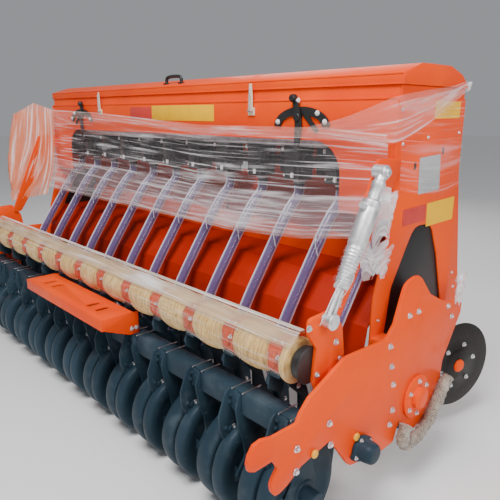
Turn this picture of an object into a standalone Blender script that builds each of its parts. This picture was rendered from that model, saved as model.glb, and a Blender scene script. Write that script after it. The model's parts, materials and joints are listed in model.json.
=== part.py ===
"""Seed drill with a rotary tiller: hopper, metering, tubes, opener bar, press roller and hitch.

Metres, +Z up, +Y is the way the machine is pulled, +X is its right-hand side.
The machine stands on its press roller and its two parking stands.
Places along Y are measured from the press roller's axle, and the empty "machine" then
moves the whole of it so that the middle of its length lies over the origin.
"""
import math

import bmesh
import bpy
from mathutils import Matrix, Vector

# ---------------------------------------------------------------- driving dimensions
GAP = 0.0003                 # left between pieces that touch
SHEET = 0.005                # hopper sheet metal
PLATE = 0.012                # heavy plate

ROW_COUNT = 12
ROW_SPACING = 0.200

END_INSET = 0.022            # hopper's end panel, in from the outermost row's half spacing
STAY_THICK = 0.0082          # flat brace between the hopper's end and the bar arm
ARM_CLEAR = 0.0242           # from the bar arm to the side plate
CASE_THICK = 0.060           # chain case and bearing cover, with their gap to the side plate
HOPPER_HALF = ROW_COUNT * ROW_SPACING / 2 - END_INSET    # inner face of each hopper end panel
ARM_X = HOPPER_HALF + SHEET + STAY_THICK + 2 * GAP       # inner face of each bar arm
SIDE_PLATE_X = ARM_X + PLATE + ARM_CLEAR                 # inner face of each side plate
OUTER_X = SIDE_PLATE_X + PLATE + CASE_THICK              # outermost faces of the machine

BEAM_TOP = 0.450             # press roller's beam
BEAM_DEEP = 0.080
BEAM_REAR = -0.055
BEAM_FRONT = 0.005

WHEEL_R = 0.160              # press wheels, each a wide and a narrow tread with a groove between
WIDE_TREAD = 0.078           # from a row's middle to the wheel's left side
NARROW_TREAD = 0.054         # and to its right side
GROOVE_W = 0.012
GROOVE_DEEP = 0.022
WHEEL_SIDES = 16             # flats of each wheel; it rests on one
WHEEL_CLEAR = 0.050          # from the wheels up to the beam
AXLE_R = 0.028
AXLE_BORE_R = 0.0302         # corners of the bores that the axle runs in
AXLE_Y = 0.020
AXLE_Z = BEAM_TOP - BEAM_DEEP - WHEEL_CLEAR - WHEEL_R
GROUND_Z = AXLE_Z - WHEEL_R
HANGER_OFFSET = NARROW_TREAD + 0.006    # from a row's middle to its hanger
HANGER_THICK = 0.010

BLADE_Y = AXLE_Y + WHEEL_R + 0.010    # rear edge of the opener blades, clear of the wheels
BAR_Y = -0.004               # opener bar
BAR_Z = 0.605
BAR_R = 0.036
BAR_SIDES = 16
CLAMP_W = 0.050
CLAMP_WALL = 0.014
WRAP_THICK = 0.034           # straw packing round the bar
WRAP_TOP = 0.700

HUB_Y = 0.186                # bearing cover on the right side plate
HUB_Z = 0.280
HUB_R = 0.042

ROTOR_Y = 0.500              # tiller rotor
ROTOR_Z = 0.300
ROTOR_R = 0.235
ROTOR_SHAFT_R = 0.042
ROTOR_FLANGE_R = 0.110
ROTOR_FLANGE_W = 0.010
BLADE_THICK = 0.010
BLADES = 3

HOOD_TOP = 0.726
HOOD_SHEET = 0.006

MAIN_Y = 0.600               # rear face of the main beam
MAIN_D = 0.100
MAIN_H = 0.100

BOX_HALF = 0.130             # gearbox
BOX_FRONT = 0.960
BOX_H = 0.250
CROSS_Y = 0.755              # cross tube that carries the gearbox and drives the chain case
CROSS_Z = 0.785
CROSS_R = 0.038
CROSS_SIDES = 12

GUARD_THICK = 0.006          # black guard inside each hopper end
INNER_HALF = HOPPER_HALF - GUARD_THICK - 2 * GAP    # ends of what lies between the guards

HOPPER_REAR = 0.373
HOPPER_FRONT = 0.800
FLANGE_Z = 1.326             # where the recessed band under the lid starts
RIM_HIGH = 0.0357
RIM_Z = FLANGE_Z + RIM_HIGH
RIM_STEP = 0.012
ARCH_Z = 1.190               # top of the opening above the metering units
ARCH_X = HOPPER_HALF - 0.198
ARCH_R = 0.130
WALL_FOOT_Z = 0.960
TROUGH_Z = 1.160             # underside of the seed and fertiliser troughs
TROUGH_KNEE_Z = 1.262        # where the troughs' sides turn upright
TROUGH_SHEET = 0.004
SEED_Y = 0.485               # middle of each row of metering units
FERT_Y = 0.680
METER_H = 0.125
METER_W = 0.084
METER_D = 0.086
SPOUT_R = 0.020
SPOUT_Z = 1.012

LID_Z = RIM_Z + GAP
LID_HIGH = 0.065
LID_TOP = LID_Z + LID_HIGH
LID_REAR_HIGH = 0.033        # upright lip of the lid's rear edge
LID_FRONT_HIGH = 0.041       # knee of the lid's front slope
LID_REAR = HOPPER_REAR + 0.007
LID_SHEET = 0.004
LID_OVER = 0.008             # past each end panel
HANDLE_W = 0.140

TUBE_R = 0.021
BOOT_Y = BLADE_Y - 0.035
BOOT_Z = 0.400
BOOT_LEAN = Vector((0.26, -0.965)).normalized()

STRUT_R = 0.0275             # strut's barrel
STRUT_X = ARM_X + STRUT_R + 0.0012
STRUT_TOP = (0.253, 1.120)
STRUT_FOOT = (0.034, 0.735)

DISC_Y = 0.949
DISC_Z = 0.276
DISC_R = 0.180
DISC_X = SIDE_PLATE_X - 0.050    # middle of each side disc's inner face
DISC_THICK = 0.008
DISC_TOE = math.radians(16)  # each disc's front edge points outward
DISC_ARM_X = DISC_X - 0.078

HITCH_HALF = 0.412           # to each lower link pin
HITCH_Y = 1.060
HITCH_Z = 0.600
TOP_LINK_Z = 1.180
TOP_LINK_Y = 1.000
PIN_R = 0.014

MAST_STAY_X = BOX_HALF + 0.010
MAST_ARCH_X = MAST_STAY_X + PLATE + 0.012    # front wall's arch over the gearbox and the mast's stays
MAST_ARCH_Z = TOP_LINK_Z - 0.085

STAND_X = 0.500
STAND_Y = 0.862
STAND_Z = 0.560
STAND_R = 0.024
STAND_FOOT = 0.130

FILM = 0.004                 # stretch film, as thick as its folds

FORK_REAR = -0.296           # corner of the side plates' upper finger
QUADRANT_X = 0.810           # middle of each rate quadrant
TIE_R = 0.0215

ORANGE = ((0.80, 0.13, 0.02), 0.38, 0.0)
BLUE_GREY = ((0.035, 0.055, 0.075), 0.45, 0.0)
STEEL = ((0.62, 0.62, 0.64), 0.35, 1.0)
BLACK = ((0.015, 0.013, 0.012), 0.5, 0.0)
STRAW = ((0.62, 0.46, 0.22), 0.8, 0.0)
CLEAR = ((0.75, 0.74, 0.85), 0.2, 0.0)
CANVAS = ((0.35, 0.32, 0.28), 0.9, 0.0)


# ---------------------------------------------------------------- small tools
for old in list(bpy.data.objects):
    bpy.data.objects.remove(old, do_unlink=True)

MACHINE = bpy.data.objects.new("machine", None)
bpy.context.scene.collection.objects.link(MACHINE)


def finish_of(look):
    """The material for a (colour, roughness, metallic) look, made once."""
    colour, rough, metal = look
    name = "finish_%02x%02x%02x" % tuple(int(c * 255) for c in colour)
    material = bpy.data.materials.get(name)
    if material is None:
        material = bpy.data.materials.new(name)
        material.use_nodes = True
        shader = material.node_tree.nodes["Principled BSDF"]
        shader.inputs["Base Color"].default_value = (*colour, 1)
        shader.inputs["Roughness"].default_value = rough
        shader.inputs["Metallic"].default_value = metal
    return material


def rounded(points, steps=2):
    """An outline from corners (a, b) or (a, b, radius); a radius rounds that corner."""
    out = []
    for i, corner in enumerate(points):
        here = Vector(corner[:2])
        if len(corner) == 2:
            out.append(here)
            continue
        before = Vector(points[i - 1][:2])
        after = Vector(points[(i + 1) % len(points)][:2])
        into, away = (before - here).normalized(), (after - here).normalized()
        half = into.angle(away) / 2
        reach = min(corner[2] / math.tan(half), 0.48 * (before - here).length,
                    0.48 * (after - here).length)
        radius = reach * math.tan(half)
        centre = here + (into + away).normalized() * (radius / math.sin(half))
        start = here + into * reach - centre
        turn = math.pi - 2 * half
        if into.x * away.y - into.y * away.x > 0:
            turn = -turn
        for k in range(steps + 1):
            angle = turn * k / steps
            out.append(centre + Matrix.Rotation(angle, 2) @ start)
    return out


def circle(radius, sides, a=0.0, b=0.0):
    """Corners of a regular polygon around (a, b)."""
    turn = 2 * math.pi / sides
    return [Vector((a + radius * math.cos(turn * (k + 0.5)), b + radius * math.sin(turn * (k + 0.5))))
            for k in range(sides)]


def thick_line(points, thick):
    """The outline of a bent sheet whose one side follows the points and whose other is thick away."""
    pts = [Vector(p) for p in points]
    other = []
    for i, here in enumerate(pts):
        before = pts[i] - pts[i - 1] if i else pts[1] - pts[0]
        after = pts[i + 1] - pts[i] if i + 1 < len(pts) else before
        n1 = Vector((-before.y, before.x)).normalized()
        n2 = Vector((-after.y, after.x)).normalized()
        mid = (n1 + n2).normalized()
        other.append(here + mid * (thick / mid.dot(n1)))
    return pts + other[::-1]


def prism(outline, low, high, axis="x"):
    """A bmesh of an outline swept from low to high: (y, z) along x, (x, z) along y or (x, y) along z."""
    def place(p, level):
        if axis == "x":
            return (level, p[0], p[1])
        if axis == "y":
            return (p[0], level, p[1])
        return (p[0], p[1], level)

    shape = bmesh.new()
    near = [shape.verts.new(place(p, low)) for p in outline]
    far = [shape.verts.new(place(p, high)) for p in outline]
    shape.faces.new(near)
    shape.faces.new(far[::-1])
    count = len(outline)
    for i in range(count):
        j = (i + 1) % count
        shape.faces.new((near[i], far[i], far[j], near[j]))
    bmesh.ops.recalc_face_normals(shape, faces=shape.faces)
    return shape


def block(x0, x1, y0, y1, z0, z1):
    """A bmesh box from its six sides."""
    return prism([(y0, z0), (y1, z0), (y1, z1), (y0, z1)], x0, x1)


def turned(profile, sides):
    """A bmesh turned around the X axis from (x, radius) pairs, its flats at those radii."""
    shape = bmesh.new()
    widen = 1 / math.cos(math.pi / sides)
    ends = [shape.verts.new((profile[0][0], 0, 0)), shape.verts.new((profile[-1][0], 0, 0))]
    rings = []
    for x, radius in profile:
        rings.append([shape.verts.new((x, p.x, p.y)) for p in circle(radius * widen, sides)])
    for i in range(sides):
        j = (i + 1) % sides
        shape.faces.new((ends[0], rings[0][j], rings[0][i]))
        shape.faces.new((ends[1], rings[-1][i], rings[-1][j]))
        for near, far in zip(rings, rings[1:]):
            shape.faces.new((near[i], near[j], far[j], far[i]))
    bmesh.ops.recalc_face_normals(shape, faces=shape.faces)
    return shape


def rod(start, end, radius, sides=12):
    """A bmesh cylinder from one point to another."""
    a, b = Vector(start), Vector(end)
    shape = turned([(0, radius), ((b - a).length, radius)], sides)
    shape.transform(Matrix.Translation(a) @ (b - a).to_track_quat("X", "Z").to_matrix().to_4x4())
    return shape


def moved(shape, offset):
    """The same bmesh, shifted."""
    shape.transform(Matrix.Translation(offset))
    return shape


def mirrored(shape):
    """The bmesh reflected to the machine's other side."""
    shape.transform(Matrix.Scale(-1, 4, (1, 0, 0)))
    bmesh.ops.reverse_faces(shape, faces=shape.faces)
    return shape


def holder(name, shape):
    """An unlinked helper object around a bmesh."""
    mesh = bpy.data.meshes.new(name)
    shape.to_mesh(mesh)
    shape.free()
    return bpy.data.objects.new(name, mesh)


def combined(base, others, how):
    """One bmesh: base joined with the others, or cut by them."""
    tools = bpy.data.collections.new("tools")
    bpy.context.scene.collection.children.link(tools)
    target = holder("target", base)
    bpy.context.scene.collection.objects.link(target)
    helpers = [holder("tool", other) for other in others]
    for helper in helpers:
        tools.objects.link(helper)
    step = target.modifiers.new("step", "BOOLEAN")
    step.operation = how
    step.operand_type = "COLLECTION"
    step.collection = tools
    step.solver = "EXACT"
    result = bmesh.new()
    result.from_object(target, bpy.context.evaluated_depsgraph_get())
    for helper in helpers + [target]:
        bpy.data.objects.remove(helper, do_unlink=True)
    bpy.data.collections.remove(tools)
    bmesh.ops.remove_doubles(result, verts=result.verts, dist=0.00001)
    return result


def fused(shapes):
    """One closed bmesh out of several that overlap."""
    return combined(shapes[0], shapes[1:], "UNION")


def cut(base, cutters):
    """The base with the cutters taken away."""
    return combined(base, cutters, "DIFFERENCE")


def piece(name, shape, look, pivot=(0, 0, 0), smooth=30):
    """Adds a finished piece to the machine, with its origin on its pivot."""
    shape.transform(Matrix.Translation(-Vector(pivot)))
    mesh = bpy.data.meshes.new(name)
    shape.to_mesh(mesh)
    shape.free()
    mesh.materials.append(finish_of(look))
    mesh.shade_smooth()
    mesh.set_sharp_from_angle(angle=math.radians(smooth))
    thing = bpy.data.objects.new(name, mesh)
    thing.parent = MACHINE
    thing.location = pivot
    bpy.context.scene.collection.objects.link(thing)
    return thing


def both_sides(name, make, look, pivot=(0, 0, 0)):
    """The same piece on the right and, mirrored, on the left."""
    piece(name + "_right", make(), look, pivot)
    piece(name + "_left", mirrored(make()), look, (-pivot[0], pivot[1], pivot[2]))


def rows():
    """The X of each row, from left to right."""
    return [(i - (ROW_COUNT - 1) / 2) * ROW_SPACING for i in range(ROW_COUNT)]


# ---------------------------------------------------------------- press roller
def press_roller():
    """The axle with its wheels, one turning body."""
    half, floor = GROOVE_W / 2, WHEEL_R - GROOVE_DEEP
    end = SIDE_PLATE_X - 0.012
    profile = [(-end, AXLE_R)]
    for x in rows():
        profile += [
            (x - WIDE_TREAD, AXLE_R), (x - WIDE_TREAD, WHEEL_R), (x - half, WHEEL_R), (x - half, floor),
            (x + half, floor), (x + half, WHEEL_R), (x + NARROW_TREAD, WHEEL_R), (x + NARROW_TREAD, AXLE_R),
        ]
    profile.append((end, AXLE_R))
    piece("press_roller", moved(turned(profile, WHEEL_SIDES), (0, AXLE_Y, AXLE_Z)), BLUE_GREY, (0, AXLE_Y, AXLE_Z))


def hanger(x):
    """The plate beside a wheel, from the beam down to the axle, with its scraper leaf."""
    boss = 0.052
    low = BEAM_TOP - BEAM_DEEP
    outline = rounded([
        (BEAM_REAR - 0.008, BEAM_TOP - 0.004), (BEAM_REAR - 0.052, low - 0.014, 0.02),
        (BEAM_REAR - 0.045, low - 0.070, 0.02), (BEAM_REAR - 0.010, low - 0.108, 0.02), (AXLE_Y - boss, 0.225, 0.03),
        (AXLE_Y - boss - 0.050, AXLE_Z - 0.004, 0.01), (AXLE_Y - boss + 0.006, AXLE_Z - 0.050, 0.02),
        (AXLE_Y + boss, AXLE_Z - 0.050, 0.04), (AXLE_Y + boss, AXLE_Z + 0.050, 0.03),
        (BEAM_FRONT + 0.016, low - 0.030), (BEAM_FRONT + 0.004, low + 0.010), (BEAM_FRONT - 0.006, BEAM_TOP - 0.004),
    ], 1)
    plate = prism(outline, x - HANGER_THICK / 2, x + HANGER_THICK / 2)
    bore = prism(circle(AXLE_BORE_R, 12, AXLE_Y, AXLE_Z), x - 0.03, x + 0.03)
    return cut(plate, [bore])


def roller_frame():
    """The beam over the press roller with all its hangers."""
    beam = block(-SIDE_PLATE_X + GAP, SIDE_PLATE_X - GAP, BEAM_REAR, BEAM_FRONT,
                 BEAM_TOP - BEAM_DEEP, BEAM_TOP)
    hangers = [hanger(x + HANGER_OFFSET) for x in rows()]
    piece("roller_frame", fused([beam] + hangers), BLUE_GREY)


def step_board():
    """The folded board over the roller's beam, with two pairs of drain slots."""
    half, back, front, top = 0.350, -0.190, -0.056, 0.540
    thick, lip = 0.006, 0.045
    board = prism(thick_line([(front, top), (back, top), (back, top - lip)], thick), -half, half)
    slots = []
    for x in (-0.235, -0.165, 0.165, 0.235):
        slots.append(prism(rounded([(x - 0.012, -0.155, 0.012), (x + 0.012, -0.155, 0.012),
                                    (x + 0.012, -0.095, 0.012), (x - 0.012, -0.095, 0.012)]),
                           top - 0.05, top + 0.05, "z"))
    board = cut(board, slots)
    parts = [board]
    for side in (-1, 1):
        edge = side * half
        outline = [(back + 0.003, top - lip + 0.002), (back + 0.003, top - 0.003), (front + 0.022, top - 0.003),
                   (front + 0.022, BEAM_TOP + GAP), (BEAM_REAR - 0.020, BEAM_TOP + GAP)]
        parts.append(prism(outline, min(edge, edge - side * thick), max(edge, edge - side * thick)))
    piece("step_board", fused(parts), ORANGE)


# ---------------------------------------------------------------- opener bar
def opener_bar():
    """The round bar with a clamp, an arm and a boot for each row."""
    parts = [rod((-ARM_X + GAP, BAR_Y, BAR_Z), (ARM_X - GAP, BAR_Y, BAR_Z), BAR_R, BAR_SIDES)]
    reach = BAR_R + CLAMP_WALL
    for x in rows():
        parts.append(block(x - CLAMP_W / 2, x + CLAMP_W / 2, BAR_Y - reach, BAR_Y + reach,
                           BAR_Z - reach, BAR_Z + reach))
        blade = [
            (BAR_Y + 0.010, BAR_Z - reach + 0.01), (BAR_Y + 0.010, BAR_Z - reach - 0.05),
            (BEAM_FRONT + 0.050, BEAM_TOP + 0.008), (BEAM_FRONT + 0.052, BOOT_Z),
            (BOOT_Y - 0.075, BOOT_Z - 0.035), (BOOT_Y - 0.035, BOOT_Z - 0.055), (BLADE_Y, 0.240),
            (BLADE_Y, GROUND_Z + 0.075), (BLADE_Y + 0.036, GROUND_Z + 0.075), (BLADE_Y + 0.052, 0.200),
            (BOOT_Y + 0.070, BOOT_Z - 0.040),
            (BOOT_Y - 0.005, BOOT_Z - 0.015), (BOOT_Y - 0.043, BOOT_Z - 0.005),
            (BEAM_FRONT + 0.083, BEAM_TOP + 0.020), (BAR_Y + 0.048, BAR_Z - reach + 0.01),
        ]
        parts.append(prism(blade, x - 0.006, x + 0.006))
        low = Vector((BOOT_Y, BOOT_Z)) + BOOT_LEAN * 0.175
        parts.append(rod((x, BOOT_Y, BOOT_Z), (x, *low), TUBE_R + 0.005, 8))
    piece("opener_bar", fused(parts), BLUE_GREY)


def bar_wrap():
    """Straw packing over the bar, open below and cut at each clamp under its top fold."""
    inner, outer = BAR_R / math.cos(math.pi / BAR_SIDES) + GAP, BAR_R + WRAP_THICK
    start, end, steps = math.radians(-40), math.radians(225), 8
    angles = [start + (end - start) * k / steps for k in range(steps + 1)]
    inside = [(BAR_Y + inner / math.cos((end - start) / steps / 2) * math.cos(a),
               BAR_Z + inner / math.cos((end - start) / steps / 2) * math.sin(a)) for a in angles]
    outside = [(BAR_Y + outer * math.cos(a), BAR_Z + outer * math.sin(a)) for a in angles]
    roll = prism(outside + inside[::-1], -ARM_X + 0.020, ARM_X - 0.035)
    ridge = block(-ARM_X + 0.020, ARM_X - 0.035, BAR_Y - 0.012, BAR_Y + 0.012,
                  BAR_Z + outer - 0.015, WRAP_TOP)
    reach = BAR_R + CLAMP_WALL + 0.004
    slots = [block(x - CLAMP_W / 2 - 0.004, x + CLAMP_W / 2 + 0.004, BAR_Y - 0.2, BAR_Y + 0.2,
                   BAR_Z - 0.2, BAR_Z + reach) for x in rows()]
    piece("bar_wrap", fused([cut(roll, slots), ridge]), STRAW)


# ---------------------------------------------------------------- side plates and what they carry
def side_plate():
    """The forked plate at each end of the machine."""
    outline = rounded([
        (FORK_REAR, 0.425, 0.025), (-0.272, 0.512, 0.05), (-0.200, 0.492, 0.03), (-0.108, 0.490),
        (-0.094, 0.514), (-0.060, 0.546), (0.095, 0.612, 0.05), (0.305, 0.602, 0.03),
        (0.345, 0.640), (0.395, 0.762, 0.04), (0.475, 0.780, 0.05), (0.560, 0.690),
        (0.650, 0.645), (0.808, 0.598, 0.01), (0.806, 0.560), (0.695, 0.399, 0.05),
        (0.688, 0.320), (0.640, 0.245, 0.03), (0.560, 0.197, 0.03), (0.474, 0.196, 0.02),
        (0.458, 0.232), (0.432, 0.262, 0.012), (0.404, 0.250), (0.386, 0.204, 0.01),
        (0.316, 0.203, 0.02), (0.262, 0.232), (0.200, 0.226, 0.03), (0.138, 0.236, 0.04),
        (0.075, 0.322, 0.02), (0.035, 0.372), (-0.088, 0.352), (-0.140, 0.322, 0.02),
        (-0.196, 0.306, 0.022), (-0.206, 0.356, 0.02), (-0.180, 0.392, 0.008),
        (-0.200, 0.424, 0.008),
    ])
    return prism(outline, SIDE_PLATE_X, SIDE_PLATE_X + PLATE)


def bar_arm():
    """The plate that carries the opener bar's end and the spring strut's foot."""
    outline = rounded([
        (-0.030, 0.748, 0.015), (0.075, 0.752, 0.02), (0.120, 0.690, 0.02), (0.134, 0.600),
        (0.118, 0.530, 0.03), (0.020, 0.498, 0.03), (-0.004, 0.560), (0.006, 0.655), (-0.026, 0.700, 0.02),
    ])
    plate = prism(outline, ARM_X, ARM_X + PLATE)
    spacer = rod((ARM_X + 0.004, 0.080, 0.552), (SIDE_PLATE_X - GAP, 0.080, 0.552), 0.018, 12)
    return fused([plate, spacer])


def bar_stay():
    """The flat brace from the arm up to the hopper's end."""
    low, high = HOPPER_HALF + SHEET + GAP, ARM_X - GAP
    outline = rounded([(0.066, 0.700, 0.02), (0.124, 0.712, 0.02), (0.388, 1.110, 0.02),
                       (0.404, 1.148, 0.015), (0.270, 1.152, 0.02)])
    return prism(outline, low, high)


def strut():
    """The spring strut, turned about its own length, with an eye at each end."""
    foot, top = Vector((STRUT_X, *STRUT_FOOT)), Vector((STRUT_X, *STRUT_TOP))
    length = (top - foot).length
    body = turned([
        (0.030, 0.012), (0.110, 0.012), (0.112, 0.025), (0.190, 0.025), (0.192, STRUT_R),
        (0.330, STRUT_R), (0.334, 0.017), (length - 0.012, 0.017),
    ], 12)
    body.transform(Matrix.Translation(foot) @ (top - foot).to_track_quat("X", "Z").to_matrix().to_4x4())
    low_eye = rod((ARM_X + PLATE + GAP, *STRUT_FOOT), (STRUT_X + 0.014, *STRUT_FOOT), 0.020, 14)
    low_link = rod(foot + (top - foot) * 0.03, foot + (top - foot) * 0.12, 0.0078, 8)
    high_eye = rod((ARM_X, *STRUT_TOP), (STRUT_X + 0.016, *STRUT_TOP), 0.021, 14)
    return fused([body, low_link, low_eye, high_eye])


def disc_arm():
    """The bracket inside each side plate that carries a side disc's stub axle."""
    low, high = DISC_ARM_X, DISC_ARM_X + PLATE
    seat = (0.745, 0.545)        # where the arm is bolted to the side plate
    out = Vector((math.cos(DISC_TOE), -math.sin(DISC_TOE), 0))
    hub = Vector((DISC_X, DISC_Y, DISC_Z)) - out * GAP
    foot = hub - out * ((hub.x - high + 0.004) / out.x)
    outline = rounded([(seat[0] - 0.030, seat[1] + 0.024, 0.02), (seat[0] + 0.030, seat[1] + 0.024, 0.02),
                       (foot.y + 0.036, DISC_Z + 0.010, 0.03), (foot.y + 0.030, DISC_Z - 0.036, 0.03),
                       (foot.y - 0.034, DISC_Z - 0.030, 0.02), (seat[0] - 0.030, seat[1] - 0.030, 0.02)])
    plate = prism(outline, low, high)
    spacer = rod((high - 0.004, *seat), (SIDE_PLATE_X - GAP, *seat), 0.020, 12)
    return fused([plate, spacer, rod(foot, hub, 0.022, 12)])


def side_disc():
    """The dished cutting disc with its hub cap."""
    shape = turned([
        (0, DISC_R - 0.006), (DISC_THICK / 2, DISC_R), (DISC_THICK, DISC_R - 0.006),
        (DISC_THICK, 0.060), (DISC_THICK + 0.006, 0.058), (DISC_THICK + 0.006, 0.030),
        (DISC_THICK + 0.018, 0.027), (DISC_THICK + 0.022, 0.020),
    ], 24)
    shape.transform(Matrix.Rotation(-DISC_TOE, 4, "Z"))
    return moved(shape, (DISC_X, DISC_Y, DISC_Z))


def rotor_hub():
    """The bolted bearing cover on the outside of the right side plate."""
    face = SIDE_PLATE_X + PLATE + GAP
    shape = turned([(face, HUB_R), (face + 0.012, HUB_R), (face + 0.016, HUB_R - 0.006),
                    (OUTER_X - 0.008, HUB_R - 0.009), (OUTER_X, HUB_R - 0.014)], 20)
    piece("rotor_hub", moved(shape, (0, HUB_Y, HUB_Z)), BLUE_GREY)


def chain_case():
    """The side drive's case on the left side plate, from the cross shaft down to the rotor."""
    outline = rounded([
        (ROTOR_Y - 0.085, ROTOR_Z + 0.02, 0.07), (0.560, 0.740, 0.10), (0.640, 0.905, 0.08),
        (0.800, 0.905, 0.08), (0.820, 0.760, 0.10), (ROTOR_Y + 0.095, ROTOR_Z - 0.085, 0.09),
        (ROTOR_Y - 0.095, ROTOR_Z - 0.085, 0.09),
    ], 6)
    face = SIDE_PLATE_X + PLATE + GAP
    case = prism(outline, -OUTER_X, -face)
    boss = rod((-OUTER_X + 0.02, CROSS_Y, CROSS_Z), (-HOPPER_HALF - SHEET - GAP, CROSS_Y, CROSS_Z), CROSS_R, CROSS_SIDES)
    piece("chain_case", fused([case, boss]), ORANGE)


def tie_rope():
    """The thick tie from the side plate's hook notch round its lower front corner."""
    route = [(0.424, 0.262), (0.404, 0.214), (0.424, 0.184), (0.480, 0.176), (0.545, 0.192),
             (0.605, 0.226), (0.650, 0.276), (0.682, 0.320), (0.706, 0.338)]
    x = SIDE_PLATE_X + PLATE + GAP + TIE_R
    curve = bpy.data.curves.new("tie_rope", "CURVE")
    curve.dimensions = "3D"
    curve.bevel_depth = TIE_R
    curve.bevel_resolution = 2
    curve.use_fill_caps = True
    line = curve.splines.new("POLY")
    line.points.add(len(route) - 1)
    for point, (y, z) in zip(line.points, route):
        point.co = (x, y, z, 1)
    thing = bpy.data.objects.new("tie_rope", curve)
    curve.materials.append(finish_of(CANVAS))
    thing.parent = MACHINE
    bpy.context.scene.collection.objects.link(thing)


# ---------------------------------------------------------------- tiller
def hood():
    """The sheet over the rotor, from its rear flap to its front lip."""
    line = [(0.770, 0.580), (0.750, 0.700), (0.700, HOOD_TOP - HOOD_SHEET), (0.395, HOOD_TOP - HOOD_SHEET),
            (0.300, 0.620), (0.262, 0.440)]
    outline = thick_line(line[::-1], HOOD_SHEET)
    piece("hood", prism(outline, -INNER_HALF, INNER_HALF), ORANGE)


def cross_hole(x, half):
    """The cutter that lets the cross tube through a plate or bracket."""
    return rod((x - half, CROSS_Y, CROSS_Z), (x + half, CROSS_Y, CROSS_Z), CROSS_R + GAP, CROSS_SIDES)


def main_beam():
    """The square beam across the machine on top of the hood, with the stands' brackets."""
    low = HOOD_TOP + GAP
    half = INNER_HALF
    beam = block(-half, half, MAIN_Y, MAIN_Y + MAIN_D, low, low + MAIN_H)
    piece("main_beam", fused([beam, stand_bracket(), mirrored(stand_bracket())]), ORANGE)


def gearbox():
    """The gear case on the hood in front of the main beam, with its cross tube to the side drive."""
    low = HOOD_TOP + 0.001
    rear = MAIN_Y + MAIN_D + GAP
    case = prism(rounded([(-BOX_HALF, low + 0.02, 0.02), (BOX_HALF, low + 0.02, 0.02), (BOX_HALF, low + BOX_H, 0.05),
                          (-BOX_HALF, low + BOX_H, 0.05)]), rear, BOX_FRONT, "y")
    nose = moved(turned([(0, 0.080), (0.030, 0.080), (0.034, 0.055), (0.060, 0.055)], 20), (0, 0, 0))
    nose.transform(Matrix.Translation((0, BOX_FRONT - 0.02, low + 0.135)) @ Matrix.Rotation(math.pi / 2, 4, "Z"))
    tube = rod((-INNER_HALF, CROSS_Y, CROSS_Z), (INNER_HALF, CROSS_Y, CROSS_Z), CROSS_R, CROSS_SIDES)
    piece("gearbox", fused([case, nose, tube]), ORANGE)


def pto_shaft():
    """The splined input stub."""
    y0 = BOX_FRONT + 0.0405
    z = HOOD_TOP + 0.136
    shape = turned([(0, 0.0175), (0.018, 0.0175), (0.022, 0.015), (0.030, 0.015), (0.034, 0.0175), (0.078, 0.0175),
                    (0.082, 0.015)], 18)
    shape.transform(Matrix.Translation((0, y0, z)) @ Matrix.Rotation(math.pi / 2, 4, "Z"))
    piece("pto_shaft", shape, STEEL, (0, y0, z))


def rotor():
    """The shaft with its flanges and curved blades."""
    flanges = rows()
    end = SIDE_PLATE_X - GAP
    profile = [(-end, ROTOR_SHAFT_R)]
    for x in flanges:
        for dx, radius in ((-0.5, ROTOR_SHAFT_R), (-0.5, ROTOR_FLANGE_R), (0.5, ROTOR_FLANGE_R), (0.5, ROTOR_SHAFT_R)):
            profile.append((x + dx * ROTOR_FLANGE_W, radius))
    profile.append((end, ROTOR_SHAFT_R))
    parts = [turned(profile, 10)]
    blade = [(-0.020, 0.090), (0.020, 0.090), (0.028, 0.170), (0.004, ROTOR_R - 0.004),
             (-0.050, ROTOR_R - 0.012), (-0.018, 0.170)]
    for i, x in enumerate(flanges):
        side = 1 if i % 2 else -1
        for k in range(BLADES):
            face = x + side * ROTOR_FLANGE_W * 0.4
            shape = prism(blade, min(face, face + side * BLADE_THICK), max(face, face + side * BLADE_THICK))
            turn = 2 * math.pi * k / BLADES + i * math.pi / 6
            shape.transform(Matrix.Rotation(turn, 4, "X"))
            parts.append(shape)
    piece("rotor", moved(fused(parts), (0, ROTOR_Y, ROTOR_Z)), BLUE_GREY, (0, ROTOR_Y, ROTOR_Z))


# ---------------------------------------------------------------- hopper
def end_panel():
    """The hopper's end, which runs down as two legs on each side of an arch."""
    outline = rounded([
        (HOPPER_REAR, FLANGE_Z), (HOPPER_REAR, 0.960), (0.300, 0.720, 0.05), (0.295, 0.560),
        (0.372, 0.560), (0.400, 0.735, 0.05), (0.478, 0.860, 0.06), (0.520, 0.920, 0.05),
        (0.630, 0.915, 0.05), (0.690, 0.790, 0.05), (0.765, 0.560), (0.905, 0.560),
        (0.870, 0.700, 0.05), (HOPPER_FRONT, 1.080, 0.05), (HOPPER_FRONT, FLANGE_Z),
        (HOPPER_FRONT - RIM_STEP, FLANGE_Z), (HOPPER_FRONT - RIM_STEP, RIM_Z), (HOPPER_REAR + RIM_STEP, RIM_Z),
        (HOPPER_REAR + RIM_STEP, FLANGE_Z),
    ])
    panel = prism(outline, HOPPER_HALF, HOPPER_HALF + SHEET)
    feet = []
    for y0, y1 in ((0.300, 0.366), (0.780, 0.795)):
        feet.append(block(HOPPER_HALF + SHEET - 0.002, SIDE_PLATE_X - GAP, y0, y1, 0.566, 0.590))
    return fused([panel] + feet)


def drive_guard():
    """The black guard behind the arch of each hopper end."""
    outline = rounded([
        (0.386, 0.566), (0.396, 0.740, 0.05), (0.466, 0.868, 0.06), (0.512, 0.934, 0.05), (0.638, 0.930, 0.05),
        (0.704, 0.800, 0.05), (0.778, 0.566),
    ])
    return prism(outline, HOPPER_HALF - GAP - GUARD_THICK, HOPPER_HALF - GAP)


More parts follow.
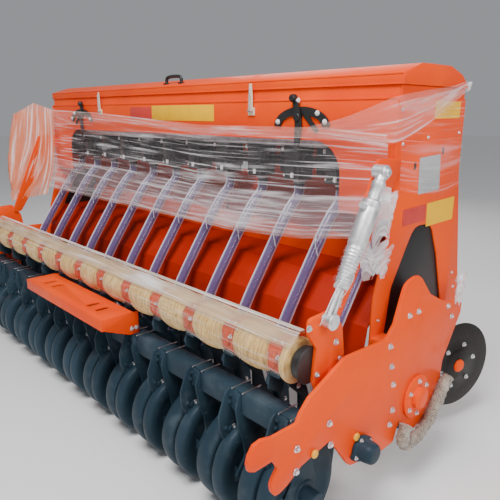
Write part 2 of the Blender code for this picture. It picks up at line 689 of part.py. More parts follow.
def wall(y, rim_y, name, foot, arch_x, arch_z, arch_r):
    """A long hopper wall with an arch in its foot and a recessed rim along its top."""
    half = HOPPER_HALF - GAP
    outline = rounded([
        (-half, FLANGE_Z), (-half, foot), (-arch_x, foot), (-arch_x, arch_z, arch_r),
        (arch_x, arch_z, arch_r), (arch_x, foot), (half, foot), (half, FLANGE_Z),
    ], 6)
    panel = prism(outline, y, y + SHEET, "y")
    low_y, high_y = min(y, rim_y), max(y, rim_y) + SHEET
    ledge = block(-half, half, low_y, high_y, FLANGE_Z - SHEET, FLANGE_Z)
    rim = block(-half, half, rim_y, rim_y + SHEET, FLANGE_Z - SHEET, RIM_Z)
    piece(name, fused([panel, ledge, rim]), ORANGE)


def trough(name, middle, rear, front, look):
    """A V-bottomed trough along the hopper, hung between the end panels."""
    half = HOPPER_HALF - GAP
    top = FLANGE_Z - SHEET - 0.004
    line = [(rear, top), (rear, TROUGH_KNEE_Z), (middle - 0.035, TROUGH_Z), (middle + 0.035, TROUGH_Z),
            (front, TROUGH_KNEE_Z), (front, top)]
    piece(name, prism(thick_line(line, TROUGH_SHEET), -half, half), look)


def metering_row(name, middle):
    """Twelve metering housings on one drive shaft, each with its spout."""
    top = TROUGH_Z - GAP
    end = HOPPER_HALF - GAP
    parts = [rod((-end, middle, top - 0.065), (end, middle, top - 0.065), 0.012, 6)]
    for x in rows():
        parts.append(block(x - METER_W / 2, x + METER_W / 2, middle - METER_D / 2, middle + METER_D / 2,
                           top - METER_H, top))
        parts.append(rod((x, middle + 0.010, top - METER_H + 0.01), (x, middle + 0.010, SPOUT_Z), SPOUT_R, 8))
    piece(name, fused(parts), BLACK)


def lid():
    """The long tray-shaped lid, hinged along its front edge."""
    rear, knee = LID_Z + LID_REAR_HIGH, LID_Z + LID_FRONT_HIGH
    outline = [(LID_REAR, LID_Z), (LID_REAR, rear), (LID_REAR + 0.100, LID_TOP - 0.001), (0.660, LID_TOP),
               (0.745, knee), (HOPPER_FRONT, LID_Z)]
    ends = HOPPER_HALF + SHEET + LID_OVER
    shell = prism(outline, -ends, ends)
    inset = [(LID_REAR + LID_SHEET, LID_Z - 0.01), (LID_REAR + LID_SHEET, rear - LID_SHEET),
             (LID_REAR + 0.100, LID_TOP - 0.001 - LID_SHEET), (0.660, LID_TOP - LID_SHEET),
             (0.743, knee - LID_SHEET), (HOPPER_FRONT - 0.009, LID_Z - 0.01)]
    hollow = prism(inset, -ends + LID_SHEET, ends - LID_SHEET)
    piece("hopper_lid", cut(shell, [hollow]), ORANGE, (0, HOPPER_FRONT, LID_Z))


def lid_handle():
    """The black bow handle on the lid's rear slope."""
    half, leg, rise = HANDLE_W / 2, 0.016, 0.034
    slope = (LID_HIGH - 0.001 - LID_REAR_HIGH) / 0.100
    y0, y1 = LID_REAR + 0.035, LID_REAR + 0.055
    foot = LID_Z + LID_REAR_HIGH + slope * (y1 - LID_REAR) + GAP + 0.0006
    top = foot + rise
    outline = rounded([
        (-half, foot), (-half, top, 0.02), (half, top, 0.02), (half, foot), (half - leg, foot),
        (half - leg, top - 0.012, 0.008), (-half + leg, top - 0.012, 0.008), (-half + leg, foot),
    ])
    piece("lid_handle", prism(outline, y0, y1, "y"), BLACK, (0, HOPPER_FRONT, LID_Z))


def rate_quadrant():
    """The black quadrant plate and lever that set the sowing rate."""
    x, z, half = QUADRANT_X, 1.236, 0.125
    face = HOPPER_REAR - GAP
    arc = [(x - half * math.cos(math.pi * k / 10), z + 0.066 * math.sin(math.pi * k / 10)) for k in range(11)]
    inner = [(x + (half - 0.028) * math.cos(math.pi * k / 10), z - 0.002 + 0.040 * math.sin(math.pi * k / 10))
             for k in range(11)]
    plate = prism([Vector(p) for p in arc + inner], face - 0.006, face, "y")
    lever = prism(rounded([(x - 0.022, z - 0.03, 0.01), (x + 0.012, z - 0.03, 0.01), (x - 0.020, z + 0.104, 0.006),
                           (x - 0.038, z + 0.104, 0.006)]), face - 0.012, face - 0.004, "y")
    spindle = rod((x - 0.004, face - 0.010, z - 0.012), (x - 0.004, face, z - 0.012), 0.012, 10)
    return fused([plate, lever, spindle])


def seed_tubes():
    """A clear tube from each metering spout down to its opener boot."""
    top = (SEED_Y + 0.010, SPOUT_Z - GAP)
    foot = Vector((BOOT_Y, BOOT_Z)) - BOOT_LEAN * GAP
    route = [Vector(top), Vector((top[0], top[1] - 0.040)), Vector((0.4300, 0.920)), Vector((0.320, 0.760)),
             Vector((0.212, 0.604)), Vector((0.170, 0.520)), foot - BOOT_LEAN * 0.060, foot]
    for i, x in enumerate(rows()):
        curve = bpy.data.curves.new("seed_tube", "CURVE")
        curve.dimensions = "3D"
        curve.bevel_depth = TUBE_R
        curve.bevel_resolution = 2
        curve.use_fill_caps = True
        line = curve.splines.new("POLY")
        line.points.add(len(route) - 1)
        for point, p in zip(line.points, route):
            point.co = (0, p.x, p.y, 1)
        curve.materials.append(finish_of(CLEAR))
        tube = bpy.data.objects.new("seed_tube_%02d" % (i + 1), curve)
        tube.location = (x, 0, 0)
        tube.parent = MACHINE
        bpy.context.scene.collection.objects.link(tube)


# ---------------------------------------------------------------- hitch and stands
def hitch_side():
    """The lower link clevis and its upright, on one side."""
    rear = MAIN_Y + MAIN_D + GAP
    low = HOOD_TOP + 0.02
    cheek = rounded([(rear, low + 0.085), (rear, low), (0.850, 0.640, 0.05), (HITCH_Y - 0.03, HITCH_Z - 0.045, 0.02),
                     (HITCH_Y + 0.040, HITCH_Z - 0.045, 0.03), (HITCH_Y + 0.040, HITCH_Z + 0.045, 0.03),
                     (0.960, 0.780, 0.03), (0.930, low + 0.085, 0.03)])
    inner, outer = HITCH_HALF - 0.036, HITCH_HALF + 0.036
    parts = [
        prism(cheek, inner - PLATE, inner), prism(cheek, outer, outer + PLATE),
        block(inner - 0.004, outer + 0.004, rear, rear + PLATE, low + 0.004, low + 0.080),
        block(inner - 0.004, outer + 0.004, 0.880, 0.892, low + 0.004, low + 0.080),
        rod((inner - 0.040, HITCH_Y, HITCH_Z), (outer + 0.040, HITCH_Y, HITCH_Z), PIN_R, 12),
    ]
    upright = [(HITCH_HALF - 0.055, low + 0.060), (HITCH_HALF - 0.005, low + 0.060), (0.072, TOP_LINK_Z - 0.02),
               (0.0303, TOP_LINK_Z - 0.06), (0.0303, TOP_LINK_Z - 0.105)]
    parts.append(prism(upright, 0.885, 0.885 + PLATE * 1.5, "y"))
    return cut(fused(parts), [cross_hole(HITCH_HALF, 0.1)])


def top_link():
    """The ears for the top link on a bridge between the two uprights."""
    y0, y1 = 0.880, TOP_LINK_Y + 0.045
    ear = rounded([(0.890, TOP_LINK_Z - 0.125), (0.980, TOP_LINK_Z - 0.060, 0.03), (y1, TOP_LINK_Z - 0.03, 0.03),
                   (y1, TOP_LINK_Z + 0.045, 0.03), (0.905, TOP_LINK_Z + 0.045, 0.03), (0.860, TOP_LINK_Z - 0.04)])
    body = block(-0.030, 0.030, 0.862, 0.930, TOP_LINK_Z - 0.120, TOP_LINK_Z - 0.030)
    parts = [body, prism(ear, -0.030, -0.018), prism(ear, 0.018, 0.030)]
    parts.append(rod((-0.055, TOP_LINK_Y, TOP_LINK_Z), (0.055, TOP_LINK_Y, TOP_LINK_Z), 0.0125, 12))
    piece("top_link_head", fused(parts), ORANGE)


def mast_stay():
    """The flat brace from the mast's head back to the main beam."""
    low = HOOD_TOP + GAP + MAIN_H + GAP
    outline = [(MAIN_Y + 0.015, low), (MAIN_Y + 0.085, low), (0.884, TOP_LINK_Z - 0.10),
               (0.884, TOP_LINK_Z - 0.05), (0.850, TOP_LINK_Z - 0.05)]
    return prism(outline, MAST_STAY_X, MAST_STAY_X + PLATE)


def stand():
    """A parking stand that hangs from its pivot down to the ground."""
    tube = rod((STAND_X, STAND_Y, GROUND_Z + 0.004), (STAND_X, STAND_Y, STAND_Z - 0.045), STAND_R, 12)
    half = STAND_FOOT / 2
    foot = block(STAND_X - half, STAND_X + half, STAND_Y - half * 0.6, STAND_Y + half * 0.6,
                 GROUND_Z, GROUND_Z + 0.010)
    head = prism(rounded([(STAND_X - 0.026, STAND_Z - 0.060), (STAND_X + 0.026, STAND_Z - 0.060),
                          (STAND_X + 0.026, STAND_Z + 0.024, 0.024), (STAND_X - 0.026, STAND_Z + 0.024, 0.024)]),
                 STAND_Y - 0.010, STAND_Y + 0.010, "y")
    return fused([tube, foot, head])


def stand_bracket():
    """The fork on the main beam that a parking stand turns in, with its pin."""
    rear = MAIN_Y + MAIN_D - 0.010
    low = HOOD_TOP + 0.004
    arm = rounded([(rear, low), (rear, low + 0.090), (CROSS_Y - 0.030, low + 0.120), (STAND_Y - 0.012, low + 0.115, 0.02),
                   (STAND_Y - 0.012, STAND_Z - 0.028), (STAND_Y - 0.024, STAND_Z - 0.028), (0.800, low)])
    half = 0.026
    plate = cut(prism(arm, STAND_X - half, STAND_X + half), [cross_hole(STAND_X, 2 * half)])
    washer = rod((STAND_X, STAND_Y - 0.016, STAND_Z), (STAND_X, STAND_Y - 0.0106, STAND_Z), 0.022, 12)
    return fused([plate, washer])


# ---------------------------------------------------------------- film
def film():
    """Stretch film round the metering units and over the hopper's ends, as thick as its folds."""
    half = HOPPER_HALF - 0.010
    face = HOPPER_REAR - GAP - 0.0002
    line = [(face - 0.073, 0.889), (face - 0.006, 1.140), (face, 1.160), (face, 1.200)]
    piece("film_rear", prism(thick_line(line, FILM), -half, half), CLEAR)

    def end_film():
        x = HOPPER_HALF + SHEET + GAP
        top = FLANGE_Z - 0.008
        outline = [(0.450, 1.040), (0.790, 1.040), (0.794, top), (0.380, top), (0.380, 1.215), (0.450, 1.215)]
        return prism(outline, x, x + FILM)

    both_sides("film", end_film, CLEAR)


# ---------------------------------------------------------------- the machine
press_roller()
roller_frame()
step_board()
opener_bar()
bar_wrap()
both_sides("side_plate", side_plate, ORANGE)
both_sides("bar_arm", bar_arm, ORANGE)
both_sides("bar_stay", bar_stay, ORANGE)
piece("spring_strut_right", strut(), STEEL)
both_sides("disc_arm", disc_arm, ORANGE)
both_sides("side_disc", side_disc, BLACK, (DISC_X, DISC_Y, DISC_Z))
rotor_hub()
chain_case()
tie_rope()
hood()
main_beam()
gearbox()
pto_shaft()
rotor()
both_sides("end_panel", end_panel, ORANGE)
both_sides("drive_guard", drive_guard, BLACK)
wall(HOPPER_REAR, HOPPER_REAR + RIM_STEP, "hopper_rear_wall", WALL_FOOT_Z, ARCH_X, ARCH_Z, ARCH_R)
wall(HOPPER_FRONT - SHEET, HOPPER_FRONT - SHEET - RIM_STEP, "hopper_front_wall",
     HOOD_TOP + MAIN_H + 0.036, MAST_ARCH_X, MAST_ARCH_Z, 0.040)
trough("seed_trough", SEED_Y, 0.380, 0.585, STEEL)
trough("fertiliser_trough", FERT_Y, 0.590, 0.790, STEEL)
metering_row("seed_metering", SEED_Y)
metering_row("fertiliser_metering", FERT_Y)
lid()
lid_handle()
both_sides("rate_quadrant", rate_quadrant, BLACK)
seed_tubes()
both_sides("hitch_side", hitch_side, ORANGE)
top_link()
both_sides("mast_stay", mast_stay, ORANGE)
both_sides("parking_stand", stand, BLUE_GREY, (STAND_X, STAND_Y, STAND_Z))
film()


def centre_the_machine():
    """Moves the machine so that it stands on the ground with the middle of its length over the origin."""
    bpy.context.view_layer.update()
    reach = [(thing.matrix_world @ Vector(corner)).y
             for thing in MACHINE.children for corner in thing.bound_box]
    MACHINE.location = (0, -(min(reach) + max(reach)) / 2, -GROUND_Z)


centre_the_machine()
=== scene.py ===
"""The finished look of a seed drill with a rotary tiller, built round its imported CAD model.

Metres, +Z up, +Y the way the machine is pulled, +X its right-hand side. Pieces are drawn with Y
measured from the working centre of the press roller, as the CAD source does, and move to the
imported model's place when they are finished.
"""
import math

import bmesh
import bpy
from mathutils import Matrix, Vector, noise
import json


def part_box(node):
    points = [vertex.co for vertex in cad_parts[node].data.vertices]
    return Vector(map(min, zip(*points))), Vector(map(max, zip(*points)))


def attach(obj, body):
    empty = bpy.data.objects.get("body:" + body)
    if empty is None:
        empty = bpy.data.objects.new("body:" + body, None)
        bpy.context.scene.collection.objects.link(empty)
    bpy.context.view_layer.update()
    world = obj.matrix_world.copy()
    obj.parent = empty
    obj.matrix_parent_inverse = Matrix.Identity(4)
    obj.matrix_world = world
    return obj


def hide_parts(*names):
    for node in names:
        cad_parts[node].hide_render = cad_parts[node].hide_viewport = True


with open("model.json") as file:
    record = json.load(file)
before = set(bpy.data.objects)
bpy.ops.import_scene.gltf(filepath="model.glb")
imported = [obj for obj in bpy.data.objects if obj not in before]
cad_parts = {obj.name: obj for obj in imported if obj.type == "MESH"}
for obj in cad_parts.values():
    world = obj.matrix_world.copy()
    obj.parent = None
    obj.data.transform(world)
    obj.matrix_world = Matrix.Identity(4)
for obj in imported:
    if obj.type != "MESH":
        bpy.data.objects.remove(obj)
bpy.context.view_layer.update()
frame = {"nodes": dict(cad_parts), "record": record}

# ---------------------------------------------------------------- sizes shared with the CAD model
ROW_COUNT, ROW_SPACING = 12, 0.200
ROWS = [(i - (ROW_COUNT - 1) / 2) * ROW_SPACING for i in range(ROW_COUNT)]
AXLE_Y, AXLE_Z = 0.020, 0.160
WIDE_TREAD, NARROW_TREAD, HALF_GROOVE = 0.078, 0.054, 0.0062
SIDE_PLATE = 1.228           # inner face of each side plate
PLATE = 0.012
SKIN = SIDE_PLATE + PLATE    # outer face of each side plate
ARM = 1.1918                 # inner face of each bar arm
HOPPER = 1.178               # inner face of each hopper end
PANEL = 1.183                # outer face of each hopper end
BAR_Y, BAR_Z, BAR_R = -0.004, 0.605, 0.036
BEAM_REAR, BEAM_FRONT, BEAM_TOP, BEAM_LOW = -0.055, 0.005, 0.450, 0.370
WALL_Y = 0.373               # outer face of the hopper's rear wall
LID_Y, LID_Z, LID_END = 0.380, 1.362, 1.191
LID_HINGE_Y = 0.8065
LID_HINGES = (-0.95, -0.32, 0.32, 0.95)
LATCHES = (-0.592, 0.563)
HANDLE_Y, HANDLE_FOOT = 0.425, 1.409
SEED_Y, FERT_Y = 0.485, 0.680
METER_TOP = 1.1597
METER_SHAFT = METER_TOP - 0.065
SPOUT = 0.010                # how far each spout stands in front of its metering unit's middle
BOOT = Vector((0.155, 0.400))
BOOT_LEAN = Vector((0.26, -0.965)).normalized()
ROTOR_Y, ROTOR_Z, ROTOR_R = 0.500, 0.300, 0.235
STRUT_FOOT, STRUT_TOP = Vector((1.2205, 0.034, 0.735)), Vector((1.2205, 0.253, 1.120))
DISC = Vector((1.178, 0.949, 0.276))
DISC_TOE = math.radians(16)
GEAR_FRONT, SHAFT_Z = 0.960, 0.862
GEAR_TOP = 0.727 + 0.250
CHAIN_FACE = -1.300          # outer face of the chain case
HUB = Vector((0.186, 0.280))
CARRIER = Vector((0.507, 0.330))
LINK_Y, LINK_Z = 1.060, 0.600
FILM_END = 1.168             # how far the film behind reaches each way
SEATED = 0.0002              # what a fitting stands off the face under it

low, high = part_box("press_roller")
SHIFT = (low.y + high.y) / 2 - AXLE_Y
BODY_OF = {node: body for body, nodes in frame["record"]["behaviour"]["bodies"].items() for node in nodes}
SLOT_OF = {part["node"]: part["material_slot"] for part in frame["record"]["subparts"]}


# ---------------------------------------------------------------- finishes
class Value:
    """A number that changes over a surface; sums on it become Math nodes."""

    def __init__(self, finish, socket):
        self.finish, self.socket = finish, socket

    def __add__(self, other):
        return self.finish.sum("ADD", self, other)

    def __mul__(self, other):
        return self.finish.sum("MULTIPLY", self, other)

    __radd__, __rmul__ = __add__, __mul__


class Finish:
    """One finish of the machine, built up from nodes on a Principled shader."""

    def __init__(self, name, **constants):
        self.material = bpy.data.materials.new(name)
        self.material.use_nodes = True
        self.tree = self.material.node_tree
        self.shader = self.tree.nodes["Principled BSDF"]
        for socket, value in constants.items():
            self.feed(socket.replace("_", " "), value)

    def plug(self, socket, value):
        """A number, colour or link into a socket."""
        if isinstance(value, Value):
            value = value.socket
        if isinstance(value, bpy.types.NodeSocket):
            self.tree.links.new(value, socket)
        elif socket.type == "RGBA" and len(value) == 3:
            socket.default_value = (*value, 1)
        else:
            socket.default_value = value

    def feed(self, socket, value):
        """A number, colour or link into one of the shader's sockets."""
        self.plug(self.shader.inputs[socket], value)

    def node(self, kind, settings, sockets):
        """Any node: its type, its settings first and then what its sockets hold."""
        made = self.tree.nodes.new(kind)
        for key, value in settings.items():
            setattr(made, key, value)
        for key, value in sockets.items():
            self.plug(made.inputs[key], value)
        return made

    def sum(self, how, first, second):
        """One step of shader maths on numbers or links."""
        made = self.node("ShaderNodeMath", {"operation": how}, {0: first, 1: second})
        return Value(self, made.outputs["Value"])

    def fade(self, value, low, high):
        """0 below low, 1 above high and smooth between them."""
        made = self.node("ShaderNodeMapRange", {"interpolation_type": "SMOOTHSTEP"},
                         {"Value": value, "From Min": low, "From Max": high})
        return Value(self, made.outputs["Result"])

    def mix(self, share, first, second):
        """The first colour with a share of the second."""
        made = self.node("ShaderNodeMix", {"data_type": "RGBA"}, {0: share, 6: first, 7: second})
        return made.outputs[2]

    def where(self, stretch=(1, 1, 1), lay=False):
        """Places on the piece in metres, or along and across it where it keeps its lay."""
        if lay:
            source = self.node("ShaderNodeAttribute", {"attribute_name": "lay"}, {}).outputs["Vector"]
        else:
            source = self.node("ShaderNodeTexCoord", {}, {}).outputs["Object"]
        return self.node("ShaderNodeMapping", {}, {"Vector": source, "Scale": stretch}).outputs["Vector"]

    def grain(self, size, detail=2.0, **place):
        """Soft noise whose blotches are about so many metres wide."""
        sockets = {"Vector": self.where(**place), "Scale": 1 / size, "Detail": detail}
        return Value(self, self.node("ShaderNodeTexNoise", {}, sockets).outputs["Fac"])

    def bump(self, height, depth, strength=1.0):
        """Raises the surface by up to the depth, in metres."""
        made = self.node("ShaderNodeBump", {}, {"Height": height, "Distance": depth, "Strength": strength})
        self.feed("Normal", made.outputs["Normal"])


def sprayed(name, colour, shade, dust, rough, dusty):
    """Sprayed paint: its tone drifts, dust lies on it in patches and it has an orange-peel skin."""
    paint = Finish(name, Coat_Weight=0.03, Coat_Roughness=0.2, Specular_IOR_Level=0.10)
    drift = paint.grain(0.45, 3)
    film = paint.fade(paint.grain(0.07, 5), 0.50, 0.78)
    scuffs = paint.fade(paint.grain(0.012, 4, stretch=(1, 0.25, 1)), 0.66, 0.74)
    tone = paint.mix(paint.fade(drift, 0.35, 0.68), colour, shade)
    tone = paint.mix(film * dusty, tone, dust)
    paint.feed("Base Color", paint.mix(scuffs * dusty, tone, dust))
    paint.feed("Roughness", rough + film * 0.22 + scuffs * 0.15)
    paint.bump(paint.grain(0.0035, 2) * 0.25 + paint.grain(0.11, 1), 0.0012, 0.35)
    return paint.material


def plated(name, colour, rough, smear=0.2):
    """Zinc or bright steel: fine lines one way and cloudy patches."""
    steel = Finish(name, Metallic=1.0)
    clouds = steel.grain(0.03, 4)
    lines = steel.grain(0.0012, 2, stretch=(1, 1, 0.06))
    dull = tuple(c * 0.72 for c in colour)
    steel.feed("Base Color", steel.mix(steel.fade(clouds, 0.4, 0.7), colour, dull))
    steel.feed("Roughness", rough + clouds * smear + lines * 0.08)
    steel.bump(lines, 0.0002, 0.4)
    return steel.material


def moulded(name, colour, rough):
    """Moulded plastic or rubber with a leather-fine skin."""
    plastic = Finish(name)
    skin = plastic.grain(0.0016, 3)
    wear = plastic.fade(plastic.grain(0.04, 4), 0.55, 0.8)
    pale = tuple(min(1, c * 1.7 + 0.02) for c in colour)
    plastic.feed("Base Color", plastic.mix(wear * 0.25, colour, pale))
    plastic.feed("Roughness", rough + skin * 0.12 + wear * 0.1)
    plastic.bump(skin, 0.0004, 0.5)
    return plastic.material


def straw_packing():
    """Straw strands wound round the bar, yellower and greyer in patches."""
    straw = Finish("straw", Sheen_Weight=0.15)
    strands = straw.grain(0.0045, 4, stretch=(1, 0.10, 0.10))
    lots = straw.grain(0.05, 3, stretch=(1, 0.5, 0.5))
    tone = straw.mix(straw.fade(strands, 0.34, 0.62), (0.40, 0.22, 0.055), (0.80, 0.52, 0.17))
    tone = straw.mix(straw.fade(lots, 0.48, 0.70) * 0.65, tone, (0.74, 0.54, 0.26))
    straw.feed("Base Color", straw.mix(straw.fade(lots, 0.50, 0.28) * 0.30, tone, (0.62, 0.30, 0.06)))
    straw.feed("Roughness", 0.55 + strands * 0.3)
    straw.bump(strands, 0.004, 0.8)
    return straw.material


def stretch_film(name, clear, milky, tint=(0.90, 0.86, 0.88)):
    """Stretch film: nearly clear where it is flat, white along its folds and drawn lines."""
    film = Finish(name, Roughness=0.16, Specular_IOR_Level=0.6)
    long_lines = film.fade(film.grain(0.009, 3, stretch=(0.022, 1, 1), lay=True), 0.52, 0.70)
    folds = film.fade(film.grain(0.045, 3, stretch=(0.10, 1, 1), lay=True), 0.54, 0.76)
    patches = film.grain(0.22, 2, lay=True)
    white = film.sum("MAXIMUM", long_lines * 0.8, folds)
    film.feed("Base Color", film.mix(white, tint, (0.96, 0.95, 0.96)))
    film.feed("Alpha", clear + white * (milky - clear) + patches * clear * 0.5)
    film.bump(film.grain(0.010, 4, stretch=(0.03, 1, 1), lay=True) + folds * 0.5, 0.004, 0.9)
    return film.material


def clear_hose():
    """Clear flexible tube, violet-grey inside; where its wall is seen edge on it is denser and whitened by a
    painted reflection.
    """
    tube = Finish("clear_tube", Roughness=0.14, Coat_Weight=0.2, Coat_Roughness=0.05)
    facing = Value(tube, tube.node("ShaderNodeLayerWeight", {}, {"Blend": 0.35}).outputs["Facing"])
    edge = tube.fade(facing, 0.16, 0.42)
    cloud = tube.grain(0.03, 3)
    # painted reflection: the edge-on mask whitens the base colour at grazing angles, and it also makes the
    # wall denser
    tube.feed("Base Color", tube.mix(edge, (0.16, 0.11, 0.27), (0.86, 0.82, 0.92)))
    tube.feed("Alpha", 0.50 + edge * 0.40 + cloud * 0.10)
    tube.bump(tube.grain(0.03, 2), 0.0006, 0.3)
    return tube.material


def wound_cloth():
    """The grey-beige wrapping of the tie: crossing threads under a creased skin."""
    cloth = Finish("rope", Sheen_Weight=0.3)
    thread = 0.0028
    wound = cloth.grain(thread, 3, stretch=(1, 0.35, 1))
    crossing = cloth.grain(thread, 3, stretch=(1, 1, 0.35))
    threads = wound * 0.5 + crossing * 0.5
    soil = cloth.grain(0.035, 4)
    tone = cloth.mix(cloth.fade(threads, 0.38, 0.62), (0.11, 0.085, 0.065), (0.40, 0.34, 0.27))
    cloth.feed("Base Color", cloth.mix(cloth.fade(soil, 0.45, 0.7) * 0.6, tone, (0.48, 0.43, 0.36)))
    cloth.feed("Roughness", 0.62 + threads * 0.3)
    cloth.bump(threads, 0.003, 0.8)
    return cloth.material


def turned_disc():
    """Satin black paint over a rolled disc, rubbed grey in patches and flecked with pale specks."""
    disc = Finish("black_disc", Coat_Weight=0.05, Coat_Roughness=0.3, Specular_IOR_Level=0.2)
    dust = disc.fade(disc.grain(0.05, 5), 0.48, 0.75)
    specks = disc.fade(disc.grain(0.006, 3), 0.62, 0.72)
    tone = disc.mix(dust * 0.30, (0.009, 0.007, 0.006), (0.060, 0.048, 0.038))
    disc.feed("Base Color", disc.mix(specks * 0.35, tone, (0.16, 0.14, 0.12)))
    disc.feed("Roughness", 0.36 + dust * 0.25)
    disc.bump(disc.grain(0.004, 3), 0.0006, 0.4)
    return disc.material


def printed(name, colour, rough=0.38):
    """A blank plastic label, a little cockled."""
    label = Finish(name, Coat_Weight=0.05, Coat_Roughness=0.2, Specular_IOR_Level=0.2)
    fade = label.grain(0.05, 3)
    dull = tuple(c * 0.75 for c in colour)
    label.feed("Base Color", label.mix(label.fade(fade, 0.4, 0.75) * 0.35, colour, dull))
    label.feed("Roughness", rough + fade * 0.15)
    label.bump(label.grain(0.02, 2), 0.0008, 0.5)
    return label.material


ORANGE = sprayed("orange_paint", (0.95, 0.082, 0.0005), (0.86, 0.058, 0.0005), (0.90, 0.17, 0.05), 0.38, 0.05)
# painted shade: the orange paint darkened to stand in for the shade that falls on the hood and the beam lip
PAINTED_SHADE_ORANGE = sprayed("orange_painted_shade", (0.46, 0.016, 0.001), (0.25, 0.008, 0.001), (0.40, 0.09, 0.05), 0.50, 0.10)
DARK = sprayed("dark_paint", (0.030, 0.056, 0.078), (0.018, 0.035, 0.050), (0.12, 0.15, 0.17), 0.44, 0.30)
RED = sprayed("clamp_paint", (0.62, 0.045, 0.020), (0.45, 0.030, 0.015), (0.55, 0.30, 0.25), 0.30, 0.20)
FLOOR = moulded("floor", (0.93, 0.92, 0.91), 0.90)
ZINC = plated("zinc", (0.80, 0.79, 0.80), 0.26)
WRAPPED_ZINC = plated("wrapped_zinc", (0.86, 0.85, 0.87), 0.30, 0.30)
BRIGHT = plated("bright_steel", (0.72, 0.72, 0.73), 0.18)
TROUGH = plated("trough_steel", (0.62, 0.62, 0.63), 0.34)
BLACK = moulded("black_plastic", (0.016, 0.015, 0.015), 0.36)
WHITE = moulded("white_plastic", (0.80, 0.79, 0.78), 0.35)
CREAM = moulded("cream_plate", (0.72, 0.60, 0.42), 0.32)
YELLOW_CAP = moulded("yellow_cap", (0.90, 0.42, 0.01), 0.35)
STRAW = straw_packing()
HOSE = clear_hose()
FILM = stretch_film("film", 0.04, 0.66)
FILM_THIN = stretch_film("film_thin", 0.02, 0.24, (0.92, 0.72, 0.66))
FILM_TIGHT = stretch_film("film_tight", 0.14, 0.62, (0.90, 0.66, 0.58))
FILM_BUNCH = stretch_film("film_bunch", 0.30, 0.86)
FILM_LOWER = stretch_film("film_lower", 0.10, 0.52, (0.90, 0.80, 0.84))
FILM_BAG = stretch_film("film_bag", 0.50, 0.82, (0.94, 0.26, 0.11))
FILM_WOUND = stretch_film("film_wound", 0.08, 0.34, (0.86, 0.66, 0.40))
FILM_BAND = stretch_film("film_band", 0.38, 0.62, (0.72, 0.54, 0.36))
FILM_FOLD = stretch_film("film_fold", 0.72, 0.90, (0.62, 0.55, 0.44))
ROPE = wound_cloth()
DISC_PAINT = turned_disc()
YELLOW_SIGN = printed("yellow_sign", (0.95, 0.50, 0.0))
RED_SIGN = printed("red_sign", (0.60, 0.05, 0.04))
GREY_SIGN = printed("grey_sign", (0.42, 0.43, 0.44), 0.30)
FINISH_OF = {"orange_paint": ORANGE, "dark_paint": DARK, "black_plastic": BLACK}


# ---------------------------------------------------------------- shaping tools
def rounded(points):
    """An outline from corners (a, b) or (a, b, radius)."""
    steps = 4
    out = []
    for i, corner in enumerate(points):
        here = Vector(corner[:2])
        if len(corner) == 2:
            out.append(here)
            continue
        before, after = Vector(points[i - 1][:2]), Vector(points[(i + 1) % len(points)][:2])
        into, away = (before - here).normalized(), (after - here).normalized()
        half = into.angle(away) / 2
        reach = min(corner[2] / math.tan(half), 0.48 * (before - here).length, 0.48 * (after - here).length)
        radius = reach * math.tan(half)
        centre = here + (into + away).normalized() * (radius / math.sin(half))
        start = here + into * reach - centre
        turn = (math.pi - 2 * half) * (-1 if into.x * away.y - into.y * away.x > 0 else 1)
        out += [centre + Matrix.Rotation(turn * k / steps, 2) @ start for k in range(steps + 1)]
    return out


def pad(a0, a1, b0, b1, radius):
    """A rectangle's outline with its corners rounded."""
    return rounded([(a0, b0, radius), (a1, b0, radius), (a1, b1, radius), (a0, b1, radius)])


def around(count, start):
    """Angles spread evenly round a circle from a start in degrees."""
    return [math.radians(360 / count * k + start) for k in range(count)]


def softened(shape, edge, angle=35):
    """The shape with its sharp edges rounded over."""
    sharp = [e for e in shape.edges if len(e.link_faces) == 2 and e.calc_face_angle(0) > math.radians(angle)]
    bmesh.ops.bevel(shape, geom=sharp, offset=edge, segments=2, profile=0.5, affect="EDGES",
                    clamp_overlap=True)
    return shape


def prism(outline, low, high, axis="x", edge=0.0):
    """An outline swept from low to high: (y, z) along x, (x, z) along y or (x, y) along z."""
    def place(p, level):
        return {"x": (level, p[0], p[1]), "y": (p[0], level, p[1]), "z": (p[0], p[1], level)}[axis]

    shape = bmesh.new()
    near = [shape.verts.new(place(p, low)) for p in outline]
    far = [shape.verts.new(place(p, high)) for p in outline]
    shape.faces.new(near)
    shape.faces.new(far[::-1])
    for i in range(len(outline)):
        j = (i + 1) % len(outline)
        shape.faces.new((near[i], far[i], far[j], near[j]))
    bmesh.ops.recalc_face_normals(shape, faces=shape.faces)
    return softened(shape, edge) if edge else shape


def block(x0, x1, y0, y1, z0, z1, edge=0.002):
    """A box with rounded edges."""
    return prism([(y0, z0), (y1, z0), (y1, z1), (y0, z1)], x0, x1, "x", edge)


def band(shape, near, far, flip=False):
    """Faces between two rings that have the same number of corners."""
    for k in range(len(near)):
        m = (k + 1) % len(near)
        corners = (near[k], near[m], far[m], far[k])
        shape.faces.new(corners[::-1] if flip else corners)


def lathe(profile, sides=40):
    """A shape turned round the X axis from (x, radius) pairs."""
    shape = bmesh.new()
    rings = []
    for x, radius in profile:
        angles = [2 * math.pi * k / sides for k in range(sides)]
        rings.append([shape.verts.new((x, radius * math.cos(a), radius * math.sin(a))) for a in angles])
    for near, far in zip(rings, rings[1:]):
        band(shape, near, far)
    shape.faces.new(rings[0][::-1])
    shape.faces.new(rings[-1])
    bmesh.ops.recalc_face_normals(shape, faces=shape.faces)
    return shape


def turned_to(shape, at, along):
    """The shape with its X axis turned to a direction and its origin moved to a point."""
    turn = Vector(along).to_track_quat("X", "Z").to_matrix().to_4x4()
    shape.transform(Matrix.Translation(at) @ turn)
    return shape


def turning(profile, sides, at, along):
    """A turned shape that starts at a point and faces a way."""
    return turned_to(lathe(profile, sides), at, along)


def rod(start, end, radius, sides=20, edge=0.0):
    """A round bar between two points, with its rims eased."""
    start, end = Vector(start), Vector(end)
    length = (end - start).length
    ease = edge or min(0.1 * radius, 0.002)
    profile = [(0, radius - ease), (ease, radius), (length - ease, radius), (length, radius - ease)]
    return turning(profile, sides, start, end - start)


